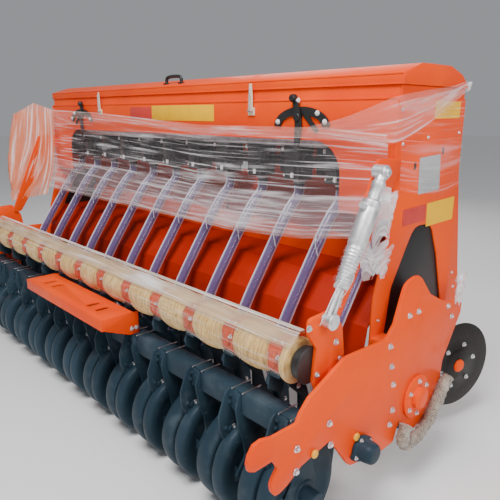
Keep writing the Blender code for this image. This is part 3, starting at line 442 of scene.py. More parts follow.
def eased(points, rounds=2):
    """A bent line with its corners cut smooth; its ends stay."""
    line = [Vector(p) for p in points]
    for _ in range(rounds):
        cut = [line[0]]
        for a, b in zip(line, line[1:]):
            cut += [a.lerp(b, 0.25), a.lerp(b, 0.75)]
        line = cut + [line[-1]]
    return line


def hose(points, radius, sides=16, inner=0.0, closed=False, crease=0.0, seed=0.0):
    """A tube along a line of points; a list of radii makes it swell, and crease crumples its skin."""
    line = [Vector(p) for p in points]
    count = len(line)
    radii = radius if isinstance(radius, (list, tuple)) else [radius] * count
    shape = bmesh.new()
    side = None

    def ring(i, wide, crease):
        out = []
        for k in range(sides):
            angle = 2 * math.pi * k / sides
            way = side * math.cos(angle) + up * math.sin(angle)
            swell = crease * noise.noise(line[i] * 55 + way * 1.4 + Vector((seed, 0, 0)))
            out.append(shape.verts.new(line[i] + way * (wide + swell)))
        return out

    outer, within = [], []
    for i in range(count):
        before = line[i - 1] if i or closed else line[0]
        after = line[(i + 1) % count] if i < count - 1 or closed else line[-1]
        along = (after - before).normalized()
        if side is None:
            side = along.orthogonal().normalized()
        side = (side - along * side.dot(along)).normalized()
        up = along.cross(side)
        outer.append(ring(i, radii[i], crease))
        if inner:
            within.append(ring(i, inner, 0))

    def skin(rings, flip):
        for near, far in list(zip(rings, rings[1:])) + ([(rings[-1], rings[0])] if closed else []):
            band(shape, near, far, flip)

    skin(outer, False)
    if inner:
        skin(within, True)
        for a, b in ((outer[0], within[0]), (within[-1], outer[-1])):
            for k in range(sides):
                m = (k + 1) % sides
                shape.faces.new((a[k], b[k], b[m], a[m]))
    elif not closed:
        shape.faces.new(outer[0][::-1])
        shape.faces.new(outer[-1])
    bmesh.ops.recalc_face_normals(shape, faces=shape.faces)
    return shape


def bolt(at, facing, size=0.010, washer=True):
    """A hexagon head on its washer, facing a way."""
    parts = []
    if washer:
        parts.append(lathe([(0, size * 1.30), (size * 0.12, size * 1.35), (size * 0.24, size * 1.22)], 20))
    parts.append(lathe([(size * 0.2, size), (size * 0.80, size), (size * 0.92, size * 0.84)], 6))
    stub = [(size * 0.80, size * 0.55), (size * 1.15, size * 0.52), (size * 1.25, size * 0.42)]
    parts.append(lathe(stub, 12))
    return turned_to(together(parts), at, facing)


def together(shapes):
    """One bmesh that holds all the shapes."""
    whole = bmesh.new()
    for shape in shapes:
        mesh = bpy.data.meshes.new("part")
        shape.to_mesh(mesh)
        shape.free()
        whole.from_mesh(mesh)
        bpy.data.meshes.remove(mesh)
    return whole


def mirrored(shape):
    """The shape on the machine's other side."""
    shape.transform(Matrix.Scale(-1, 4, (1, 0, 0)))
    bmesh.ops.reverse_faces(shape, faces=shape.faces)
    return shape


def moved(shape, offset):
    """The shape shifted by an offset."""
    shape.transform(Matrix.Translation(offset))
    return shape


def settle(name, mesh, finish, body, stands_for=(), smooth=38):
    """Adds a finished piece: moved to the model's place, shaded, and riding on its body."""
    mesh.transform(Matrix.Translation((0, SHIFT, 0)))
    mesh.materials.append(finish)
    mesh.shade_smooth()
    mesh.set_sharp_from_angle(angle=math.radians(smooth))
    thing = bpy.data.objects.new(name, mesh)
    bpy.context.scene.collection.objects.link(thing)
    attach(thing, body)
    if stands_for:
        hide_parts(*stands_for)
    return thing


def piece(name, shapes, finish, body="root", stands_for=(), smooth=38):
    """A finished piece out of one or more shapes."""
    whole = together(shapes if isinstance(shapes, list) else [shapes])
    mesh = bpy.data.meshes.new(name)
    whole.to_mesh(mesh)
    whole.free()
    return settle(name, mesh, finish, body, stands_for, smooth)


def both_sides(name, make, finish, body="root", stands_for=()):
    """The same piece on the right and, mirrored, on the left."""
    for side in ("right", "left"):
        shape = together(make())
        if side == "left":
            mirrored(shape)
        ridden = body if body == "root" else "%s_%s" % (body, side)
        nodes = ["%s_%s" % (node, side) for node in stands_for]
        piece("%s_%s" % (name, side), shape, finish, ridden, nodes)


def sheet(name, rails, finish, body="root", stands_for=(), crumple=0.0, fine=24, seed=0.0):
    """Stretch film drawn across rails, each a line of points that the film follows.

    The film keeps, for its finish, how far each point lies along the rails and across them.
    """
    lines = [eased(rail, 2) for rail in rails]
    wide = len(lines[0])
    grid, lay = [], []
    across = 0.0
    for r in range(len(lines) - 1):
        gap = sum((a - b).length for a, b in zip(lines[r], lines[r + 1])) / wide
        last = r == len(lines) - 2
        for step in range(fine + last):
            t = step / fine
            row = [a.lerp(b, t) for a, b in zip(lines[r], lines[r + 1])]
            along = 0.0
            for i, p in enumerate(row):
                if i:
                    along += (row[i] - row[i - 1]).length
                lay.append((along, across + gap * t, seed))
                grid.append(p)
        across += gap
    tall = len(grid) // wide
    faces = [(j * wide + i, j * wide + i + 1, (j + 1) * wide + i + 1, (j + 1) * wide + i)
             for j in range(tall - 1) for i in range(wide - 1)]
    mesh = bpy.data.meshes.new(name)
    mesh.from_pydata(grid, [], faces)
    kept = mesh.attributes.new("lay", "FLOAT_VECTOR", "POINT")
    for value, there in zip(kept.data, lay):
        value.vector = there
    if crumple:
        pushes = []
        for v, (a, b, _) in zip(mesh.vertices, lay):
            broad = noise.noise(Vector((a * 7, b * 60, seed)))
            fine_folds = noise.noise(Vector((a * 22, b * 110, seed + 4)))
            pushes.append(v.normal * (broad + 0.6 * fine_folds) * crumple)
        for v, push in zip(mesh.vertices, pushes):
            v.co += push
    area = sum(face.area for face in mesh.polygons)
    thing = settle(name, mesh, finish, body, stands_for, 180)
    length = sum((b - a).length for a, b in zip(lines[0], lines[0][1:]))
    round(area / length, 3)
    return thing


def pair(name):
    """The names of a piece on the right and on the left."""
    return [name + "_right", name + "_left"]


def refined(node, finish=None):
    """The CAD piece with its edges rounded over, in its own finish or another."""
    shape = bmesh.new()
    shape.from_mesh(frame["nodes"][node].data)
    bmesh.ops.remove_doubles(shape, verts=shape.verts, dist=0.00001)
    flat = math.radians(1)
    bmesh.ops.dissolve_limit(shape, angle_limit=flat, verts=shape.verts, edges=shape.edges)
    softened(shape, 0.0012, 30)
    moved(shape, (0, -SHIFT, 0))
    slot = SLOT_OF[node]
    piece(node + "_finished", shape, finish or FINISH_OF[slot], BODY_OF[node], [node], 32)


# ---------------------------------------------------------------- camera, light and floor
def studio():
    """The viewing angle, a pale floor and soft light."""
    camera = bpy.data.objects.new("camera", bpy.data.cameras.new("camera"))
    camera.data.sensor_width, camera.data.lens = 36, 38.1
    camera.location = (2.046, -1.045 + SHIFT, 1.280)
    tilt, heading = 75.5, 46.5
    camera.rotation_euler = (math.radians(tilt), 0, math.radians(heading))
    bpy.context.scene.collection.objects.link(camera)
    bpy.context.scene.camera = camera

    for name, at, aim, size, power in (
            ("sky_panel", (1.6, -2.2, 4.6), (0, 0, 0.6), 2.2, 250),
            ("side_panel", (4.4, -0.6, 2.6), (0.6, 0, 0.7), 2.0, 72),
            ("back_panel", (-2.5, 4.2, 3.4), (0, 0, 0.9), 3.0, 60)):
        lamp = bpy.data.objects.new(name, bpy.data.lights.new(name, "AREA"))
        lamp.data.shape = "DISK"
        lamp.data.size = size
        lamp.data.energy = power
        lamp.location = at
        lamp.rotation_euler = (Vector(aim) - Vector(at)).to_track_quat("-Z", "Y").to_euler()
        bpy.context.scene.collection.objects.link(lamp)
    world = bpy.data.worlds.new("daylight")
    world.use_nodes = True
    sky = world.node_tree.nodes["Background"].inputs
    sky["Color"].default_value = (0.93, 0.95, 1.0, 1)
    sky["Strength"].default_value = 0.34
    bpy.context.scene.world = world

    reach = 30
    corners = [(-reach, -reach), (reach, -reach), (reach, reach), (-reach, reach)]
    ground = prism(corners, -0.02, -0.0005, "z")
    mesh = bpy.data.meshes.new("floor")
    ground.to_mesh(mesh)
    ground.free()
    mesh.materials.append(FLOOR)
    floor = bpy.data.objects.new("floor", mesh)
    bpy.context.scene.collection.objects.link(floor)


# ---------------------------------------------------------------- press roller
def press_wheels():
    """Twelve cast wheels, each with a wide and a narrow rounded tread, on one axle."""
    rim = [(0.00, 0.1385), (0.00, 0.1480), (0.07, 0.1550), (0.22, 0.1592), (0.50, 0.1600), (0.74, 0.1585),
           (0.89, 0.1535), (0.97, 0.1440), (1.00, 0.1300), (0.98, 0.1180), (0.90, 0.1080), (0.84, 0.0700),
           (0.84, 0.0480), (0.92, 0.0420), (0.92, 0.0310)]

    def tread(inner, outer, side):
        """The profile of one tread from the groove out to its cheek."""
        return [(side * (inner + (outer - inner) * share), radius) for share, radius in rim]

    profile = tread(HALF_GROOVE, WIDE_TREAD, -1)[::-1] + tread(HALF_GROOVE, NARROW_TREAD, 1)
    shapes = [rod((-1.2155, 0, 0), (1.2155, 0, 0), 0.0278, 24)]
    for x in ROWS:
        shapes.append(moved(lathe(profile, 64), (x, 0, 0)))
        for k in range(3):
            angle = 2 * math.pi * k / 3 + 0.4
            at = (x + 0.0498, 0.036 * math.cos(angle), 0.036 * math.sin(angle))
            shapes.append(bolt(at, (1, 0, 0), 0.004, False))
    for shape in shapes:
        moved(shape, (0, AXLE_Y, AXLE_Z))
    piece("press_wheels", shapes, DARK, "press_roller", ["press_roller"])


def roller_beam():
    """The beam with, for each wheel, its hanger, scraper leaf and scraper block."""
    end = SIDE_PLATE - 0.001
    shapes = [block(-end, end, BEAM_REAR, BEAM_FRONT, BEAM_LOW, BEAM_TOP, 0.006)]
    hanger = [
        (BEAM_REAR - 0.006, 0.446), (-0.078, 0.396, 0.03), (-0.066, 0.330, 0.04), (-0.044, 0.262, 0.04),
        (-0.036, 0.214, 0.03), (-0.078, 0.160, 0.010), (-0.030, 0.112, 0.03), (0.050, 0.108, 0.04),
        (0.074, 0.190, 0.05), (0.030, 0.330, 0.03), (BEAM_FRONT + 0.004, 0.380), (BEAM_FRONT - 0.004, 0.446),
    ]
    leaf = [
        (BEAM_REAR - 0.008, 0.449, 0.004), (BEAM_REAR - 0.024, 0.440, 0.01), (-0.108, 0.366, 0.02),
        (-0.106, 0.318, 0.02), (-0.082, 0.268, 0.018), (-0.052, 0.264, 0.015), (-0.036, 0.300, 0.03),
        (-0.038, 0.372, 0.01), (BEAM_REAR - 0.001, 0.376), (BEAM_REAR - 0.001, 0.446),
    ]
    foot = [(-0.068, 0.185), (-0.106, 0.150, 0.006), (-0.080, 0.128, 0.006), (-0.040, 0.128)]
    for x in ROWS:
        shapes.append(prism(rounded(hanger), x + 0.0552, x + 0.0648, "x", 0.0015))
        shapes.append(prism(rounded(leaf), x + 0.012, x + 0.020, "x", 0.0014))
        rear = BEAM_REAR - 0.007
        shapes.append(block(x + 0.012, x + 0.0655, rear, BEAM_REAR + 0.002, 0.380, 0.446, 0.002))
        lip = prism(rounded(foot), x + 0.0562, x + 0.0612, "x", 0.001)
        lip.transform(Matrix.Translation((x + 0.0590, -0.050, 0)) @ Matrix.Rotation(math.radians(-34), 4, "Z")
                      @ Matrix.Translation((-x - 0.0590, 0.050, 0)))
        shapes.append(lip)
        shapes.append(block(x - 0.024, x + 0.024, -0.084, -0.046, 0.262, 0.296, 0.008))
        shapes.append(rod((x - 0.030, -0.060, 0.305), (x + 0.024, -0.060, 0.305), 0.011))
        shapes.append(rod((x + 0.050, AXLE_Y, AXLE_Z), (x + 0.0695, AXLE_Y, AXLE_Z), 0.045, 28, 0.003))
        shapes += [bolt((x + dx, BEAM_REAR - 0.0065, 0.428), (0, -1, 0), 0.0065) for dx in (0.024, 0.052)]
        for y, z in ((-0.083, 0.318), (-0.066, 0.404)):
            shapes.append(bolt((x + 0.0195, y, z), (1, 0, 0), 0.0068))
    for flange in (-1.219, 1.219):
        shapes.append(block(flange - 0.004, flange + 0.004, -0.064, 0.014, 0.360, 0.4595, 0.003))
    piece("roller_beam", shapes, DARK, "root", ["roller_frame"])

    strips, studs = [], []
    for x in ROWS:
        for dx in (0.030, 0.078):
            strips.append(block(x + dx - 0.0016, x + dx + 0.0016, BEAM_REAR - 0.010, BEAM_FRONT + 0.012,
                                BEAM_TOP + SEATED, BEAM_TOP + 0.004, 0.0006))
        studs.append(bolt((x + 0.0199, -0.048, 0.308), (1, 0, 0), 0.0078))
    piece("beam_shims", strips, ZINC)
    piece("scraper_studs", studs, ZINC)


def step_fittings():
    """The bolts that hold the step board's cheeks to the beam."""
    shapes = [bolt((side * 0.3505, y, 0.474), (side, 0, 0), 0.007) for side in (-1, 1)
              for y in (-0.064, -0.044)]
    piece("step_bolts", shapes, ZINC)


# ---------------------------------------------------------------- opener bar
def opener_shanks():
    """The bar with the shank, boot and spring plate of each row."""
    reach = BAR_R + 0.014
    shapes = [rod((-ARM + 0.001, BAR_Y, BAR_Z), (ARM - 0.001, BAR_Y, BAR_Z), BAR_R, 32)]
    blade = rounded([(BAR_Y + 0.010, BAR_Z - reach + 0.01), (BAR_Y + 0.010, 0.505, 0.02),
                     (0.055, 0.458, 0.02), (0.057, BOOT.y, 0.03), (BOOT.x - 0.075, 0.365, 0.02),
                     (BOOT.x - 0.035, 0.345, 0.02), (0.190, 0.240, 0.02), (0.190, 0.075, 0.006),
                     (0.226, 0.075, 0.02), (0.242, 0.200, 0.04), (BOOT.x + 0.070, 0.360, 0.02),
                     (BOOT.x - 0.005, 0.385), (BOOT.x - 0.043, 0.395, 0.02), (0.088, 0.470, 0.02),
                     (BAR_Y + 0.048, BAR_Z - reach + 0.01)])
    under = BAR_Z - reach
    low = BOOT + BOOT_LEAN * 0.175
    for x in ROWS:
        shapes.append(prism(blade, x - 0.006, x + 0.006, "x", 0.0015))
        shapes.append(block(x - 0.020, x + 0.020, BAR_Y - 0.046, BAR_Y + 0.046, under - 0.006, under + 0.010,
                            0.003))
        shapes.append(hose([(x, *BOOT), (x, *(BOOT + BOOT_LEAN * 0.06)), (x, *low)], [0.0225, 0.0218, 0.0205],
                           24, 0.0182))
        shapes.append(rod((x, *(BOOT + BOOT_LEAN * 0.002)), (x, *(BOOT + BOOT_LEAN * 0.016)), 0.0245, 24,
                          0.002))
        shapes.append(rod((x - 0.044, -0.026, 0.520), (x - 0.032, -0.026, 0.520), 0.018, 20))
        shapes.append(prism(rounded([(-0.040, 0.552), (-0.046, 0.500, 0.01), (0.016, 0.462, 0.01),
                                     (0.030, 0.552)]), x - 0.034, x - 0.029, "x", 0.001))
    piece("opener_shanks", shapes, DARK, "root", ["opener_bar"])
    places = ((0.030, 0.520), (0.046, 0.490), (0.206, 0.300))
    studs = [bolt((x + side * 0.0062, y, z), (side, 0, 0), 0.0065)
             for x in ROWS for side in (-1, 1) for y, z in places]
    piece("shank_studs", studs, ZINC)


def bar_clamps():
    """The red clamps that hold the shanks on the bar, with their bright bolts."""
    half = [(0.003, -0.049), (0.034, -0.051, 0.006), (0.0515, -0.030, 0.012), (0.0515, 0.030, 0.012),
            (0.034, 0.051, 0.006), (0.003, 0.049)]
    shapes, studs = [], []
    for x in ROWS:
        for side in (-1, 1):
            outline = rounded([(BAR_Y + side * y, BAR_Z + z, *radius) for y, z, *radius in half])
            shapes.append(prism(outline, x - 0.025, x + 0.025, "x", 0.003))
        shapes.append(block(x - 0.014, x + 0.014, BAR_Y - 0.062, BAR_Y - 0.049,
                            BAR_Z - 0.020, BAR_Z + 0.036, 0.004))
        for dx in (-0.015, 0.015):
            studs.append(bolt((x + dx, BAR_Y - 0.030, BAR_Z + 0.050), (0, 0, 1), 0.0068))
            studs.append(bolt((x + dx, BAR_Y - 0.0515, BAR_Z + 0.014), (0, -1, 0), 0.0068))
    piece("bar_clamps", shapes, RED)
    piece("clamp_studs", studs, ZINC)
    ends = []
    for side in (-1, 1):
        ends.append(rod((side * 1.158, BAR_Y, BAR_Z), (side * 1.1900, BAR_Y, BAR_Z), 0.050, 32, 0.006))
        ends.append(rod((side * 1.186, BAR_Y, BAR_Z), (side * 1.1912, BAR_Y, BAR_Z), 0.056, 32, 0.002))
    piece("bar_end_caps", ends, BLACK)


def straw_bays():
    """Straw packing between the clamps, each bay swelling under the film."""
    sides, along = 48, 20
    edges = [-ARM + 0.036] + [x + side * 0.0265 for x in ROWS for side in (-1, 1)] + [ARM - 0.036]
    shapes = []
    for bay in range(0, len(edges), 2):
        x0, x1 = edges[bay], edges[bay + 1]
        rings = []
        for i in range(along + 1):
            t = i / along
            swell = max(0.0, math.sin(math.pi * t)) ** 0.42
            ring = []
            for k in range(sides):
                angle = 2 * math.pi * k / sides
                up = max(0.0, math.sin(angle))
                y, z = math.cos(angle), math.sin(angle)
                lump = noise.noise(Vector((x0 + t * 6 * (x1 - x0), y * 2.2, z * 2.2 + bay)))
                radius = (0.047 + 0.0235 * swell) * (1 - up) + (0.059 + 0.0085 * swell) * up
                radius += 0.0035 * lump * swell
                ring.append(Vector((x0 + (x1 - x0) * t, BAR_Y + radius * y, BAR_Z + radius * z)))
            rings.append(ring)
        shape = bmesh.new()
        loops = [[shape.verts.new(p) for p in ring] for ring in rings]
        for near, far in zip(loops, loops[1:]):
            band(shape, near, far)
        shape.faces.new(loops[0])
        shape.faces.new(loops[-1][::-1])
        bmesh.ops.recalc_face_normals(shape, faces=shape.faces)
        shapes.append(shape)
    piece("straw_packing", shapes, STRAW, "root", ["bar_wrap"], 80)


def bar_film():
    """The film wound over the packing and clamps, pinched to a flat fold along its top."""
    def rail(angle, radius, wave):
        """A line along the bar, so many degrees round it."""
        turn = math.radians(angle)
        out = []
        for i in range(61):
            x = -ARM + 0.028 + i * (2 * ARM - 0.058) / 60
            near = min(abs(x - row) for row in ROWS)
            pinch = 0.0045 * math.exp(-(near / 0.030) ** 2)
            wide = radius - pinch + wave * noise.noise(Vector((x * 9, angle, 2)))
            out.append((x, BAR_Y + wide * math.cos(turn), BAR_Z + wide * math.sin(turn)))
        return out

    wound = 0.0745
    rails = [rail(angle, wound, 0.002) for angle in (205, 185, 165, 145, 125, 108)]
    rails += [rail(97, 0.0905, 0.001), rail(90, 0.0945, 0.001), rail(83, 0.0905, 0.001)]
    rails += [rail(angle, wound, 0.002) for angle in (72, 50, 25, 0, -25)]
    sheet("bar_film", rails, FILM_WOUND, fine=2, seed=3.0)
    turns = ((134, 0.0775), (122, 0.0790), (112, 0.0825), (104, 0.0880), (98, 0.0935))
    ribbon = [rail(angle, radius, 0.0015) for angle, radius in turns]
    sheet("bar_film_band", ribbon, FILM_BAND, fine=3, seed=4.0)
    fold = []
    for side in (-1, 1):
        fold.append([(-ARM + 0.030 + i * (2 * ARM - 0.062) / 60, BAR_Y + side * 0.0105,
                      0.6985 + 0.0010 * noise.noise(Vector((i * 0.7, side, 0)))) for i in range(61)])
    sheet("bar_film_fold", fold, FILM_FOLD, fine=3, seed=5.0)


# ---------------------------------------------------------------- side plates and what they carry
def side_plate_bolts():
    """Bolts and yellow plugs on the outside of each side plate."""
    places = [(-0.109, 0.416), (-0.111, 0.347), (0.027, 0.433), (0.036, 0.360), (0.324, 0.573),
              (0.339, 0.500), (0.357, 0.430), (0.363, 0.335), (0.352, 0.286)]
    front = [(0.695, 0.612), (0.729, 0.565), (0.428, 0.648), (0.484, 0.648), (0.572, 0.361), (0.507, 0.287)]

    def zinc(points, side):
        return [bolt((side * (SKIN + SEATED), y, z), (side, 0, 0), 0.0080) for y, z in points]

    piece("side_plate_bolts_right", zinc(places + front, 1), ZINC)
    piece("side_plate_bolts_left", zinc(places[:6] + front[:2], -1), ZINC)
    plugs = [rod((side * (SKIN + SEATED), y, z), (side * (SKIN + 0.010), y, z), 0.0125, 24, 0.003)
             for side in (-1, 1) for y, z in ((0.160, 0.330), (-0.038, 0.368))]
    piece("yellow_plugs", plugs, YELLOW_CAP)
    arm = [(-0.030, 0.725), (0.090, 0.650), (0.112, 0.590), (0.010, 0.575), (0.026, 0.530)]
    piece("bar_arm_bolts", [bolt((side * (ARM + PLATE + SEATED), y, z), (side, 0, 0), 0.0075)
                            for side in (-1, 1) for y, z in arm], ZINC)
    flange = turning([(0, 0.074), (0.004, 0.078), (0.010, 0.078), (0.013, 0.074)], 48,
                     (SKIN + 0.0003, *CARRIER), (1, 0, 0))
    boss = turning([(0, 0.040), (0.018, 0.040), (0.024, 0.034), (0.026, 0.020)], 40,
                   (SKIN + 0.010, *CARRIER), (1, 0, 0))
    piece("rotor_bearing_carrier", [flange, boss], ORANGE)
    circle = 0.060
    studs = [bolt((SKIN + 0.0128, CARRIER.x + circle * math.cos(a), CARRIER.y + circle * math.sin(a)),
                  (1, 0, 0), 0.007) for a in (0.5, 1.55, 2.6, 3.65, 4.7, 5.75)]
    piece("bearing_carrier_bolts", studs, ZINC)


def hub_cover():
    """The dark bearing cover near the foot of the right side plate."""
    face, circle = SKIN + 0.0003, 0.038
    cover = turning([(0, 0.0405), (0.003, 0.042), (0.010, 0.042), (0.013, 0.040), (0.016, 0.036),
                     (0.040, 0.0345), (0.053, 0.032), (0.0585, 0.027), (0.0597, 0.020)], 48, (face, *HUB),
                    (1, 0, 0))
    places = [(HUB.x + circle * math.cos(a), HUB.y + circle * math.sin(a)) for a in around(4, 20)]
    ears = [rod((face, *place), (face + 0.014, *place), 0.012, 24, 0.002) for place in places]
    studs = [bolt((face + 0.0142, *place), (1, 0, 0), 0.006) for place in places]
    piece("hub_cover", [cover] + ears, DARK, "root", ["rotor_hub"])
    piece("hub_cover_bolts", studs, ZINC)


def spring_strut():
    """The plated strut: forked foot, coil spring under film, barrel, collar and top eye."""
    along = STRUT_TOP - STRUT_FOOT
    length = along.length
    ribs = []
    for k in range(11):
        x = 0.106 + k * 0.0098
        ribs += [(x, 0.0185 + 0.0004 * k), (x + 0.0032, 0.0222 + 0.0003 * k),
                 (x + 0.0066, 0.0222 + 0.0003 * k)]
    barrel = [
        (0.216, 0.0242), (0.222, 0.0265), (0.300, 0.0272), (0.326, 0.0274), (0.332, 0.0262), (0.334, 0.0272),
        (0.350, 0.0274), (0.354, 0.0240), (0.358, 0.0180), (0.392, 0.0172), (0.396, 0.0196), (0.410, 0.0196),
        (0.414, 0.0160), (length - 0.012, 0.0150)]
    body = turning([(0.092, 0.012), (0.094, 0.0185), (0.103, 0.0205)] + ribs + barrel, 40, STRUT_FOOT, along)
    across = along.cross(Vector((1, 0, 0))).normalized()
    way = along.normalized()
    start, end = STRUT_FOOT + way * 0.008, STRUT_FOOT + way * 0.100
    prongs = [rod(start + across * off, end + across * off * 0.75, 0.0068, 16) for off in (-0.0105, 0.0105)]
    foot = rod((ARM + PLATE + 0.0004, *STRUT_FOOT.yz), (STRUT_FOOT.x + 0.015, *STRUT_FOOT.yz), 0.0195, 28,
               0.003)
    washer = rod((STRUT_FOOT.x + 0.013, *STRUT_FOOT.yz), (STRUT_FOOT.x + 0.020, *STRUT_FOOT.yz), 0.0235, 28,
                 0.002)
    eye = rod((ARM + 0.0004, *STRUT_TOP.yz), (STRUT_TOP.x + 0.016, *STRUT_TOP.yz), 0.0205, 28, 0.004)
    pin = rod((STRUT_TOP.x + 0.014, *STRUT_TOP.yz), (STRUT_TOP.x + 0.023, *STRUT_TOP.yz), 0.012, 20, 0.003)
    neck = STRUT_FOOT + along * 0.745
    boss = rod(neck + Vector((0, -0.040, 0.018)), neck, 0.010, 16)
    shapes = [body, foot, washer, eye, pin, boss] + prongs
    piece("strut", shapes, WRAPPED_ZINC, "root", ["spring_strut_right"])

    lower = []
    for k in range(140):
        angle, wide = k * 0.46, 0.0285 + 0.0018 * math.sin(k * 0.9)
        ring = Vector((1, 0, 0)) * math.cos(angle) + across * math.sin(angle)
        lower.append(STRUT_FOOT + along * (0.205 + 0.63 * k / 139) + ring * wide)
    upper = [p + along * 0.030 for p in lower]
    sheet("strut_film", [lower, upper], FILM, fine=2, seed=8.0)


def tie_wire():
    """The white tie looped round the right strut's foot."""
    ring = []
    for k in range(40):
        a = 2 * math.pi * k / 40
        x = STRUT_FOOT.x + 0.030 * math.cos(a * 2) * 0.2 + 0.028 * math.sin(a)
        ring.append(Vector((x, 0.062 + 0.060 * math.cos(a), 0.790 + 0.075 * math.sin(a + 0.5))))
    piece("tie_wire", hose(ring, 0.0016, 8, closed=True), WHITE)


def side_discs():
    """The black cutting discs with a ring of bolts and an orange hub cap."""
    def made(shape):
        shape.transform(Matrix.Rotation(-DISC_TOE, 4, "Z"))
        return moved(shape, DISC)

    def plate():
        dish = [(0.0022, 0.158), (0.0034, 0.1796), (0.0046, 0.1796), (0.0068, 0.158), (0.0100, 0.120),
                (0.0104, 0.070), (0.0125, 0.066), (0.0150, 0.060), (0.0160, 0.034), (0.0175, 0.030)]
        inner = [(0.0004, 0.030), (0.0004, 0.062), (0.0020, 0.066), (0.0030, 0.120)]
        return [made(lathe(inner + dish, 72))]

    def bolts():
        return [made(bolt((0.0102, 0.090 * math.cos(a), 0.090 * math.sin(a)), (1, 0, 0), 0.0075))
                for a in around(6, 12)]

    def cap():
        dome = [(0.0170, 0.027), (0.0215, 0.0265), (0.0260, 0.022), (0.0285, 0.014), (0.0295, 0.004)]
        return [made(lathe(dome, 40))]

    both_sides("cutting_disc", plate, DISC_PAINT, "side_disc", ["side_disc"])
    both_sides("cutting_disc_bolts", bolts, ZINC, "side_disc")
    both_sides("cutting_disc_cap", cap, ORANGE, "side_disc")


def wrapped_tie():
    """The thick wrapped tie round the lower front corner of the right side plate."""
    route = [(0.424, 0.262), (0.404, 0.214), (0.424, 0.184), (0.480, 0.176), (0.545, 0.192),
             (0.605, 0.226), (0.650, 0.276), (0.682, 0.320), (0.706, 0.338)]
    x = SKIN + 0.0218
    line = eased([(x, y, z) for y, z in route], 3)
    radii = [0.0205 + 0.0016 * math.sin(i * 1.9) + 0.0012 * math.sin(i * 0.63 + 1)
             for i in range(len(line))]
    radii[0] = radii[-1] = 0.0150
    piece("wrapped_tie", hose(line, radii, 36, crease=0.0022, seed=4), ROPE, "root", ["tie_rope"], 70)


# ---------------------------------------------------------------- tiller and drive
def tiller():
    """The rotor's shaft, flanges and curved blades with bent tips."""
    shapes = [rod((-SIDE_PLATE + 0.0005, 0, 0), (SIDE_PLATE - 0.0005, 0, 0), 0.042, 40)]
    studs = []
    outline = rounded([(-0.022, 0.062, 0.008), (0.022, 0.062, 0.008), (0.026, 0.120), (0.026, 0.172, 0.05),
                       (0.004, ROTOR_R - 0.004, 0.02), (-0.050, ROTOR_R - 0.013, 0.006),
                       (-0.030, 0.200, 0.03), (-0.018, 0.150)])
    for i, x in enumerate(ROWS):
        side = 1 if i % 2 else -1
        shapes.append(moved(lathe([(-0.005, 0.108), (-0.004, 0.110), (0.004, 0.110), (0.005, 0.108)], 48),
                            (x, 0, 0)))
        for k in range(3):
            turn = Matrix.Rotation(2 * math.pi * k / 3 + i * math.pi / 6, 4, "X")
            blade = prism(outline, x + side * 0.0052, x + side * 0.0122, "x", 0.0016)
            long_edges = [e for e in blade.edges if e.calc_length() > 0.03]
            bmesh.ops.subdivide_edges(blade, edges=long_edges, cuts=4)
            for v in blade.verts:
                reach = max(0.0, v.co.z - 0.170) / 0.065
                v.co.x += side * 0.030 * min(1.0, reach) ** 1.6
            blade.transform(turn)
            shapes.append(blade)
            for dy in (-0.012, 0.012):
                stud = bolt((x + side * 0.0124, dy, 0.084), (side, 0, 0), 0.0075)
                stud.transform(turn)
                studs.append(stud)
    for shape in shapes + studs:
        moved(shape, (0, ROTOR_Y, ROTOR_Z))
    piece("tiller_rotor", shapes, DARK, "rotor", ["rotor"])
    piece("tiller_blade_bolts", studs, ZINC, "rotor")


def gear_case_fittings():
    """Cover bolts, cooling ribs, filler plug and input flange of the gear case."""
    ribs = [block(x - 0.003, x + 0.003, 0.730, 0.930, GEAR_TOP - 0.0005, GEAR_TOP + 0.012, 0.0015)
            for x in (-0.075, -0.050, -0.025, 0.025, 0.050, 0.075)]
    ribs += [block(side * 0.1295 - 0.006, side * 0.1295 + 0.006, y - 0.003, y + 0.003, 0.770, 0.930, 0.0015)
             for side in (-1, 1) for y in (0.850, 0.880, 0.910)]
    ribs.append(turning([(0, 0.092), (0.002, 0.095), (0.008, 0.095), (0.010, 0.092)], 48,
                        (0, GEAR_FRONT - 0.0005, SHAFT_Z), (0, 1, 0)))
    piece("gear_case_ribs", ribs, ORANGE)
    circle = 0.086
    studs = []
    for a in around(8, 22):
        at = (circle * math.cos(a), GEAR_FRONT + 0.0095, SHAFT_Z + circle * math.sin(a))
        studs.append(bolt(at, (0, 1, 0), 0.0065))
    studs += [bolt((x, GEAR_FRONT + SEATED, z), (0, 1, 0), 0.008) for x in (-0.108, 0.108)
              for z in (0.765, 0.940)]
    studs.append(turning([(0, 0.017), (0.012, 0.017), (0.014, 0.013), (0.026, 0.013), (0.028, 0.010)], 6,
                         (0, 0.83, GEAR_TOP + SEATED), (0, 0, 1)))
    piece("gear_case_bolts", studs, ZINC)


def input_shaft():
    """The splined stub that the drive shaft slides on."""
    y0 = GEAR_FRONT + 0.0405
    outline, teeth = [], 6
    for k in range(teeth):
        for part, radius in ((0.02, 0.0150), (0.22, 0.0150), (0.30, 0.0174), (0.72, 0.0174), (0.80, 0.0150)):
            angle = 2 * math.pi * (k + part) / teeth
            outline.append((radius * math.cos(angle), radius * math.sin(angle) + SHAFT_Z))
    shapes = [prism(outline, y0 + 0.034, y0 + 0.078, "y", 0.0006),
              rod((0, y0, SHAFT_Z), (0, y0 + 0.020, SHAFT_Z), 0.0172, 32, 0.001),
              rod((0, y0 + 0.019, SHAFT_Z), (0, y0 + 0.036, SHAFT_Z), 0.0150, 32, 0.001),
              rod((0, y0 + 0.077, SHAFT_Z), (0, y0 + 0.082, SHAFT_Z), 0.0146, 32, 0.002)]
    piece("input_shaft", shapes, BRIGHT, "pto_shaft", ["pto_shaft"])


